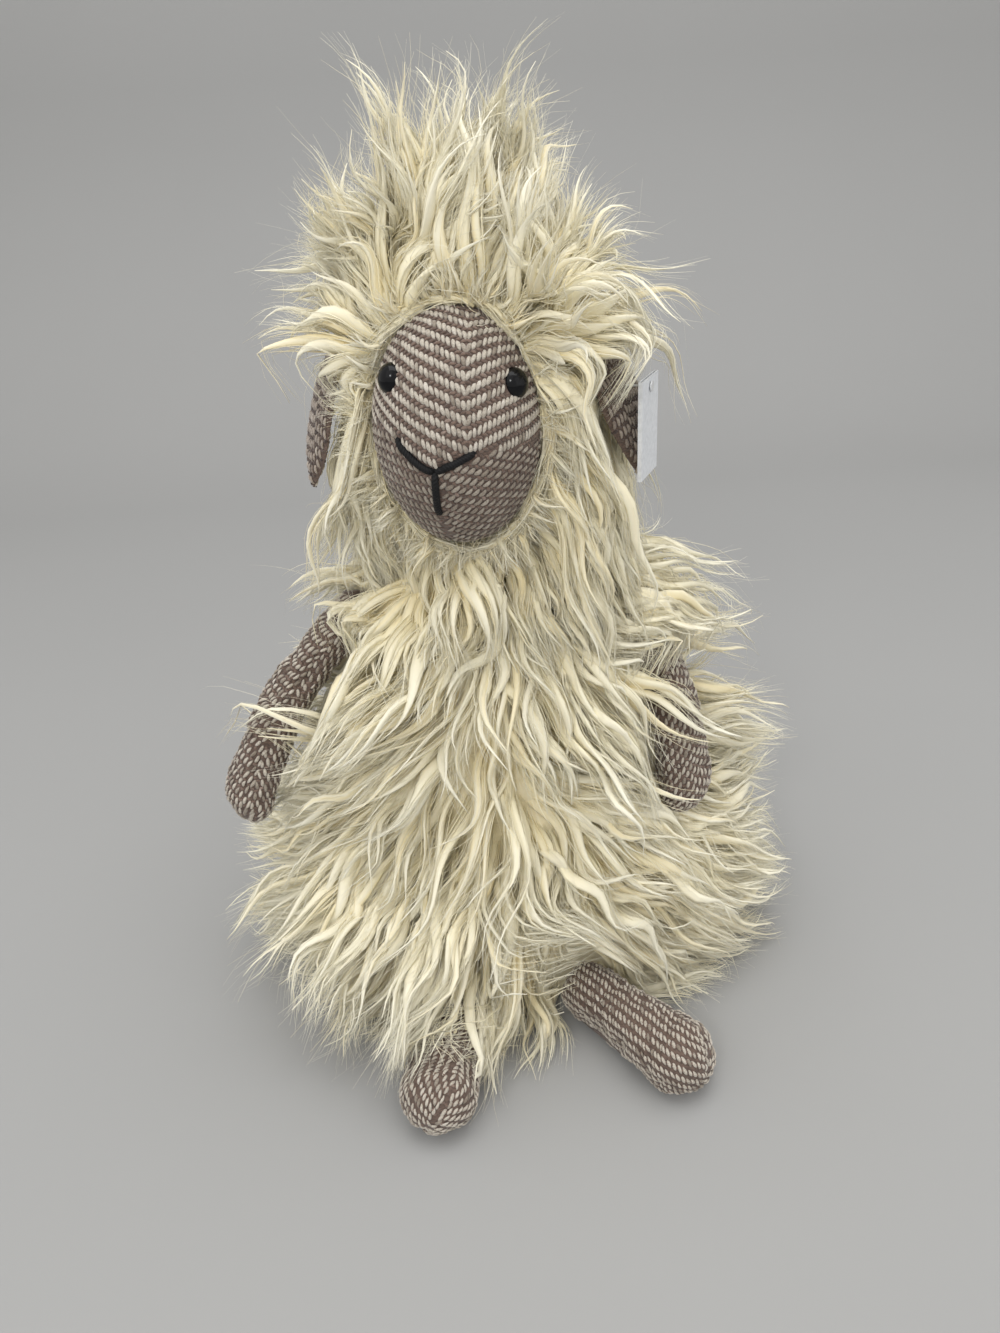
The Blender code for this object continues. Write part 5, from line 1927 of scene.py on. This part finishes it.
@dataclass
class HeadFleece:
    """The head's hide and the locks that stand up over it and hang at its sides."""

    obstacles: Obstacles
    head: HeadPlace
    form: FaceForm
    centre: Array
    radii: Array
    count: int = 1250
    lock_width: float = 3.5 * MM
    style: LockStyle = LockStyle(wave_size=4.6 * MM, tuft_pull=0.30, crossing=0.03)

    def skull(self, direction: Array) -> Array:
        """The hide's point in a direction from the skull's middle, in the head's frame."""
        return self.centre + unit(direction) * self.radii

    def hide(self) -> None:
        """The knitted backing over the skull."""
        angle, polar = np.meshgrid(ring(48), np.linspace(0.02, math.pi - 0.02, 26))
        direction = self.pointing(polar, angle)
        grid = self.centre + direction * self.radii
        grid = grid + direction * (0.5 * MM * soft_noise(grid, 14 * MM, 9))[..., None]
        mesh = grid_mesh("head_hide", self.head.out(grid), True)
        nodes = [f"head_fur_{side.label}" for side in Side]
        piece = add_piece("head_hide", mesh, "head", HIDE, nodes)

    @staticmethod
    def pointing(polar: Array, angle: Array) -> Array:
        """Directions at angles down from the top and round it."""
        level = np.sin(polar)
        return np.stack([level * np.cos(angle), level * np.sin(angle), np.cos(polar)], axis=-1)

    def directions(self, draw: np.random.Generator) -> Array:
        """Even directions from the skull's middle, without those that the face or neck takes."""
        index = np.arange(self.count * 2) + 0.5
        polar = np.arccos(1.0 - 2.0 * index / (self.count * 2))
        angle = math.pi * (1.0 + math.sqrt(5.0)) * index
        direction = self.pointing(polar, angle)
        direction = unit(direction + draw.normal(0.0, 0.03, direction.shape))
        point = self.skull(direction) - self.form.centre
        rx, _, rz = self.form.radii
        over_face = (point[:, 0] / rx) ** 2 + (point[:, 2] / rz) ** 2 < 0.93
        blocked = (over_face & (point[:, 1] < 8 * MM)) | (direction[:, 2] < -0.80)
        return direction[~blocked]

    def grow(self, roots: Array, normals: Array, lengths: Array) -> Array:
        """Follows each lock of the head, in the head's frame.

        Args:
            roots: Where the locks start.
            normals: The hide's outward direction there.
            lengths: The locks' lengths.

        Returns:
            The lines as (count, points, 3).
        """
        crown = smoothstep(0.05, 0.75, self.height(roots))
        rim = smoothstep(0.0, -0.8, normals[:, 1]) * (1.0 - 0.6 * crown)
        side = np.sign(roots[:, :1]) * np.array((1.0, 0.0, 0.0))
        way = normals * (0.9 - 0.45 * (1.0 - crown))[:, None]
        way = way + UP * (1.25 * crown - 0.55 * (1.0 - crown))[:, None]
        way = way + side * (0.5 * rim)[:, None] + 0.30 * drift(roots, 30 * MM, 31)
        way[:, 1] += 0.12 * crown * (normals[:, 1] < 0)

        def bend(point: Array, share: float) -> Array:
            """How the locks fall, the crown's least and last, and wander."""
            fall = 0.19 * (1.0 - crown) + 0.09 * crown * share
            return 0.10 * drift(point, 36 * MM, 34) - UP * fall[:, None]

        return grown(roots, unit(way), lengths, self.style.steps, bend)

    def height(self, points: Array) -> Array:
        """How high points are on the skull, from -1 at its bottom to 1 at its top."""
        return (points[:, 2] - self.centre[2]) / self.radii[2]

    def build(self) -> None:
        """Builds the hide and the locks."""
        self.hide()
        draw = np.random.default_rng(22)
        direction = self.directions(draw)
        roots = self.skull(direction)
        normals = unit(direction / self.radii)
        height = self.height(roots)
        crown = smoothstep(0.05, 0.75, height)
        lengths = (58 * MM + 11 * MM * crown) * draw.uniform(0.65, 1.15, len(roots))
        corner = smoothstep(0.2, 0.6, np.abs(normals[:, 0])) * smoothstep(0.15, 0.6, height)
        wisp = draw.uniform(0.0, 1.0, len(roots)) < 0.16
        lengths = lengths * (1.0 - 0.32 * corner) * (1.0 + (0.52 - 0.22 * crown) * wisp)
        mane = smoothstep(0.3, -0.3, height) * smoothstep(0.0, 20 * MM, roots[:, 0])
        lengths = lengths * (1.0 + 0.45 * mane)
        widths = self.lock_width * draw.uniform(0.6, 1.2, len(roots))
        paths = self.head.out(self.grow(roots, normals, lengths))
        locks = LockField.gathered(paths, lengths, widths, self.style, 25)
        left = roots[:, 0] > 0.0
        areas = product(self.bands(height, normals).items(), (("left", left), ("right", ~left)))
        for seed, ((label, band), (side, on_side)) in enumerate(areas, 91):
            chosen = locks.part(band & on_side)
            Fleece(self.style, seed).add(f"head_fleece_{label}_{side}", "head", chosen, self.obstacles.clear)

    @staticmethod
    def bands(height: Array, normals: Array) -> Dict[str, Array]:
        """The head's areas, each with True for the locks that belong to it."""
        top = height > 0.80
        crown = height > 0.4
        behind = normals[:, 1] > 0.35
        low = height < -0.25
        return {
            "crown_top": top & ~behind,
            "crown_front": crown & ~top & ~behind,
            "crown_back": crown & behind,
            "cheek": ~crown & ~behind & ~low,
            "jaw": ~crown & ~behind & low,
            "nape": ~crown & behind & low,
            "back": ~crown & behind & ~low,
        }


@dataclass
class FaceRim:
    """Short fine fleece that frames the face and crosses its edge."""

    head: HeadPlace
    form: FaceForm
    hairs: int = 900
    locks: int = 230
    edge_locks: int = 150
    edge_length: float = 36.0 * MM
    edge_width: float = 2.3 * MM
    length: float = 20.0 * MM
    radius: float = 0.26 * MM
    lock_width: float = 1.7 * MM
    style: LockStyle = LockStyle(
        steps=9, sides=6, strands=6, wave_length=24 * MM, wave_size=1.4 * MM, tuft_pull=0.3
    )

    def lines(self, count: int, low: float, high: float, seed: int) -> Tuple[Array, Array, Array]:
        """Short lines that start round the face's oval and curl outward.

        Args:
            count: How many.
            low: The least distance from the face's middle, as a share of its radii.
            high: The greatest.
            seed: Which random variation.

        Returns:
            The lines as (count, points, 3), their lengths, and the way outward at each root.
        """
        draw = np.random.default_rng(seed)
        angle = draw.uniform(0.0, 2.0 * math.pi, count)
        reach = draw.uniform(low, high, count)
        rx, _, rz = self.form.radii
        x = reach * np.cos(angle) * rx
        z = reach * np.sin(angle) * rz
        depth = draw.uniform(-4.0, 5.0, count) * MM
        point = self.form.centre + np.stack([x, depth, z], axis=-1)
        outward = unit(np.stack([np.cos(angle) / rx, np.zeros(count), np.sin(angle) / rz], axis=-1))
        forward = np.array((0.0, -1.0, 0.0))
        round_way = np.cross(outward, forward)
        twist = draw.normal(0.0, 0.9, (count, 1))
        way = unit(outward * draw.uniform(-0.7, 0.4, (count, 1)) + forward * 0.7 + round_way * twist)
        length = self.length * draw.uniform(0.6, 1.3, count)

        def curl(point: Array, _: float) -> Array:
            """How the lines curl out and wander."""
            return outward * 0.30 + 0.22 * drift(point, 9 * MM, 51)

        paths = grown(point, way, length, self.style.steps, curl)
        return self.head.out(paths), length, outward @ self.head.turn.T

    def edging(self, count: int, seed: int) -> Tuple[Array, Array]:
        """Locks that lie along the face's edge and follow it down from the top.

        Args:
            count: How many.
            seed: Which random variation.

        Returns:
            The lines as (count, points, 3) and their lengths.
        """
        draw = np.random.default_rng(seed)
        rx, _, rz = self.form.radii
        share = np.linspace(0.0, 1.0, self.style.steps)[None, :]
        side = draw.choice([-1.0, 1.0], (count, 1))
        length = self.edge_length * draw.uniform(0.6, 1.3, (count, 1))
        turn = draw.uniform(-0.1, 0.85, (count, 1)) * math.pi + share * length / (0.5 * (rx + rz))
        reach = draw.uniform(1.01, 1.09, (count, 1)) + share * draw.uniform(-0.02, 0.16, (count, 1))
        depth = draw.uniform(-6.0, 2.0, (count, 1)) * MM + share * draw.uniform(-4.0, 3.0, (count, 1)) * MM
        offset = np.stack([side * reach * np.sin(turn) * rx, depth, reach * np.cos(turn) * rz], axis=-1)
        return self.head.out(self.form.centre + offset), length[:, 0]

    def build(self) -> None:
        """Builds the hairs and the small locks round the face's oval."""
        draw = np.random.default_rng(28)
        paths, _, outward = self.lines(self.hairs, 0.97, 1.10, 27)
        share = np.linspace(0.0, 1.0, self.style.steps)[None, :]
        thick = self.radius * draw.uniform(0.6, 1.3, (self.hairs, 1)) * (1.0 - 0.85 * share ** 1.5)
        hint = np.broadcast_to(outward[:, None, :], paths.shape)
        hairs = sweep(paths, thick, thick, hint, 3, draw.uniform(0.3, 1.0, self.hairs))
        paths, lengths, _ = self.lines(self.locks, 1.03, 1.14, 29)
        widths = self.lock_width * draw.uniform(0.6, 1.3, self.locks)
        small = self.small_locks(paths, lengths, widths, 30, 120)
        paths, lengths = self.edging(self.edge_locks, 33)
        widths = self.edge_width * draw.uniform(0.5, 1.2, self.edge_locks)
        edge = self.small_locks(paths, lengths, widths, 34, 121)
        mesh = merged([hairs, small, edge]).mesh("face_rim_fleece")
        add_piece("face_rim_fleece", mesh, "head", WOOL)

    def small_locks(
        self, paths: Array, lengths: Array, widths: Array, tuft_seed: int, seed: int
    ) -> MeshStock:
        """Locks of this style along lines, which nothing clears."""
        locks = LockField.gathered(paths, lengths, widths, self.style, tuft_seed)
        return Fleece(self.style, seed).stock(locks, lambda lines, over: lines)


@dataclass
class NeckRuff:
    """The fleece round the neck, under the chin, which falls over the chest."""

    obstacles: Obstacles
    head: HeadPlace
    radius: float = 27.0 * MM
    low: float = -22.0 * MM
    high: float = 10.0 * MM
    count: int = 260
    lock_length: float = 60.0 * MM
    lock_width: float = 3.4 * MM
    style: LockStyle = LockStyle()

    def hide(self) -> None:
        """The backing, a short tube from the body's hide into the head's."""
        grid = self.point(*np.meshgrid(ring(40), np.linspace(self.low, self.high, 12)))
        mesh = grid_mesh("neck_hide", capped(grid), True)
        piece = add_piece("neck_hide", mesh, "neck", HIDE, ["neck_stuffing"])

    def point(self, angle: Array, z: Array) -> Array:
        """A point on the backing at angles round it and heights from the neck's pivot."""
        r = self.radius * (1.0 + 0.35 * (z / self.low) ** 2 * (z < 0.0))
        around = np.stack([r * np.sin(angle), -r * np.cos(angle), z], axis=-1)
        return around + self.head.origin

    def build(self) -> None:
        """Builds the backing and its locks."""
        self.hide()
        draw = np.random.default_rng(23)
        angle = np.arange(self.count) * GOLDEN_TURN
        z = self.low + (self.high - self.low) * (np.arange(self.count) + 0.5) / self.count
        roots = self.point(angle, z)
        normals = np.stack([np.sin(angle), -np.cos(angle), np.zeros(self.count)], axis=-1)
        lengths = self.lock_length * draw.uniform(0.7, 1.15, self.count)
        widths = self.lock_width * draw.uniform(0.6, 1.2, self.count)
        swirl = 0.7 * soft_noise(roots, 30 * MM, 43)
        way = unit(normals - 0.35 * UP + np.cross(UP, normals) * swirl[:, None])

        def fall(point: Array, _: float) -> Array:
            """How the locks fall and wander."""
            return 0.12 * drift(point, 36 * MM, 44) - 0.15 * UP

        paths = grown(roots, way, lengths, self.style.steps, fall)
        locks = LockField.gathered(paths, lengths, widths, self.style, 26)
        facing = normals[:, 1] < 0.0
        for seed, (label, chosen) in enumerate((("front", facing), ("back", ~facing)), 110):
            part = locks.part(chosen)
            Fleece(self.style, seed).add(f"neck_fleece_{label}", "neck", part, self.obstacles.clear)


# Inside pieces and the tag


def dress_inside() -> None:
    """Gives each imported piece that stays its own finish."""
    table = {
        "body_stuffing": FIBRE, "head_stuffing": FIBRE, "bean_pouch": POUCH, "bean_fill": BEANS,
        "eye_washer_left": NYLON, "eye_washer_right": NYLON, "tag_fastener": NYLON, "swing_tag": CARD,
    }
    for name, finish in table.items():
        mesh = bpy.data.objects[name].data
        mesh.materials.clear()
        mesh.materials.append(material_of(finish))
        LOG.info("%s keeps its packed shape in %s", name, finish.name)


# Studio and camera


@dataclass(frozen=True)
class Studio:
    """A pale floor that curves up into a backdrop, with soft lamps and a pale world."""

    half: float = 2.2
    rise: float = 2.4
    bend: float = 0.5
    world_light: float = 0.83

    def backdrop(self) -> None:
        """The floor and the backdrop as one curved sheet."""
        back = self.half * 0.6
        turns = 10
        profile = [(-self.half, 0.0), (back - self.bend, 0.0)]
        for step in range(1, turns + 1):
            angle = math.pi / 2.0 * step / turns
            rise = self.bend - self.bend * math.cos(angle)
            profile.append((back - self.bend + self.bend * math.sin(angle), rise))
        profile.append((back, self.rise))
        grid = np.array([[(x, y, z) for x in (-self.half, self.half)] for y, z in profile])
        mesh = grid_mesh("studio_sheet", grid, False)
        mesh.materials.append(material_of(PAPER))
        sheet = add_object("studio_sheet", mesh)

    def lamp(
        self, name: str, place: Sequence[float], target: Sequence[float], power: float, size: float
    ) -> None:
        """One square soft lamp that looks at a point.

        Args:
            name: The lamp's name.
            place: Where it stands.
            target: What it looks at.
            power: Its power in watts.
            size: The length of its side.
        """
        data = bpy.data.lights.new(name, "AREA")
        data.energy = power
        data.size = size
        lamp = add_object(name, data)
        lamp.location = place
        lamp.rotation_euler = (Vector(target) - Vector(place)).to_track_quat("-Z", "Y").to_euler()

    def build(self) -> None:
        """Builds the sheet, the lamps and the world."""
        self.backdrop()
        middle = (0.0, 0.0, 0.2)
        self.lamp("key_lamp", (-0.7, -1.1, 1.4), middle, 2.4, 1.4)
        self.lamp("fill_lamp", (1.1, -1.0, 0.9), middle, 2.0, 1.4)
        self.lamp("top_lamp", (0.1, 0.0, 1.9), middle, 15.0, 1.4)
        self.lamp("catch_lamp", (-0.35, -1.0, 0.95), (0.0, -0.08, 0.33), 2.4, 0.20)
        world = bpy.data.worlds.new("pale_world")
        world.use_nodes = True
        background = world.node_tree.nodes["Background"]
        background.inputs["Color"].default_value = (1.0, 0.99, 0.97, 1.0)
        background.inputs["Strength"].default_value = self.world_light
        bpy.context.scene.world = world


@dataclass(frozen=True)
class PhotoCamera:
    """The camera where the photograph's stood, looking down at the sheep."""

    place: Tuple[float, float, float] = (-0.0025, -0.455, 0.42)
    pitch: float = math.radians(28.3)
    roll: float = math.radians(3.6)
    focal_share: float = 1000.0 / 1333.0
    sensor: float = 36.0

    def build(self) -> None:
        """Makes the camera and gives it to the scene."""
        data = bpy.data.cameras.new("photo_camera")
        data.sensor_fit = "AUTO"
        data.sensor_width = self.sensor
        data.lens = self.sensor * self.focal_share
        data.clip_start = 0.01
        camera = add_object("photo_camera", data)
        level = Matrix.Rotation(math.pi / 2.0 - self.pitch, 4, "X")
        camera.matrix_world = Matrix.Translation(self.place) @ level @ Matrix.Rotation(-self.roll, 4, "Z")
        bpy.context.scene.camera = camera


ARM_SHAPE_SHARES = ((0.0, 0.86), (0.3, 0.90), (0.62, 0.97), (0.86, 1.02), (1.0, 1.0))
LEG_SHAPE_SHARES = ((0.0, 0.80), (0.3, 0.84), (0.6, 0.94), (0.80, 1.02), (1.0, 1.0))
ARM_BOW = 10.0 * MM
FLEECE_PROUD = 14.0 * MM
ARM_BARE = {Side.LEFT: 0.36, Side.RIGHT: 0.18}
LEG_DEEPEST = {Side.LEFT: 0.22, Side.RIGHT: 1.0}
LEG_BARE = {Side.LEFT: 0.04, Side.RIGHT: 0.85}
LEG_RISE = {Side.LEFT: 0.8, Side.RIGHT: 2.2}


def view_from(point: Array) -> Array:
    """The direction from a point to the photograph's camera."""
    return unit(np.array(PhotoCamera().place) - point)


def body_size() -> Tuple[float, float, float, Array]:
    """Measures the body's cloth bag from its packed stuffing.

    Returns:
        Its half width, half depth, height to the neck, and how far it leans there.
    """
    points = np.concatenate([node_points("body_stuffing"), node_points("bean_pouch")])
    low = points.min(axis=0)
    high = points.max(axis=0)
    neck = np.array(joint_named("neck_turn")["pos_m"])
    lean = np.array((neck[0], neck[1], 0.0))
    return (high[0] - low[0]) / 2.0, (high[1] - low[1]) / 2.0, float(neck[2]), lean


def main() -> None:
    """Builds the sheep's pieces in order."""
    logging.basicConfig(level=logging.INFO, format="%(message)s")
    bpy.context.scene.view_settings.view_transform = "Standard"
    PhotoCamera().build()
    Studio().build()
    dress_inside()

    head = HeadPlace.read()
    form = FaceForm.read(head)
    WovenFace(head, form).build()

    limbs: Dict[str, LimbPlace] = {}
    for side in Side:
        for limb, joint in (("arm", "lift"), ("leg", "swing")):
            name = f"{limb}_{side.label}"
            limbs[name] = LimbPlace.read(name, f"{name}_{joint}", f"{name}_cover")
    for seed, (name, place) in enumerate(limbs.items()):
        is_arm = name.startswith("arm")
        shares = ARM_SHAPE_SHARES if is_arm else LEG_SHAPE_SHARES
        shape = LimbShape(shares, ARM_BOW if is_arm else 0.0, math.radians(20.0 if is_arm else 55.0))
        WovenLimb(place, shape, ARM_WEAVE if is_arm else LEG_WEAVE, seed + 1).build()

    capsules = []
    for side in Side:
        place = LimbPlace.read(f"ear_{side.label}", f"ear_{side.label}_lift", f"ear_{side.label}_outer")
        WovenEar(side, place).build()
        end = place.tip - place.along * 8 * MM
        capsules.append(Capsule(place.pivot, end, 10 * MM, view_from(place.tip), 0.35))
        arm, leg = (limbs[f"{limb}_{side.label}"] for limb in ("arm", "leg"))
        capsules.append(arm.capsule(ARM_BARE[side], ARM_BOW, 1.0))
        capsules.append(leg.capsule(LEG_BARE[side], 0.0, LEG_DEEPEST[side], LEG_RISE[side]))
    low = np.array(CAD_BOX[0]) - FLEECE_PROUD
    high = np.array(CAD_BOX[1]) + FLEECE_PROUD
    low[2] = CAD_BOX[0][2] + 1.0 * MM
    obstacles = Obstacles(capsules, head, form, low, high)
    half_width, half_depth, height, lean = body_size()
    BodyFleece(obstacles, half_width, half_depth, height, lean).build()

    skull = head.into(node_points("head_stuffing"))
    bottom = skull.min(axis=0)
    top = skull.max(axis=0)
    middle = np.array((0.0, -6 * MM, (bottom[2] + top[2]) / 2.0))
    radii = np.array((top[0] + 0.8 * MM, top[1] - middle[1] + 0.8 * MM, (top[2] - bottom[2]) / 2.0))
    HeadFleece(obstacles, head, form, middle, radii).build()
    FaceRim(head, form).build()
    NeckRuff(obstacles, head).build()


if __name__ == "__main__":
    main()
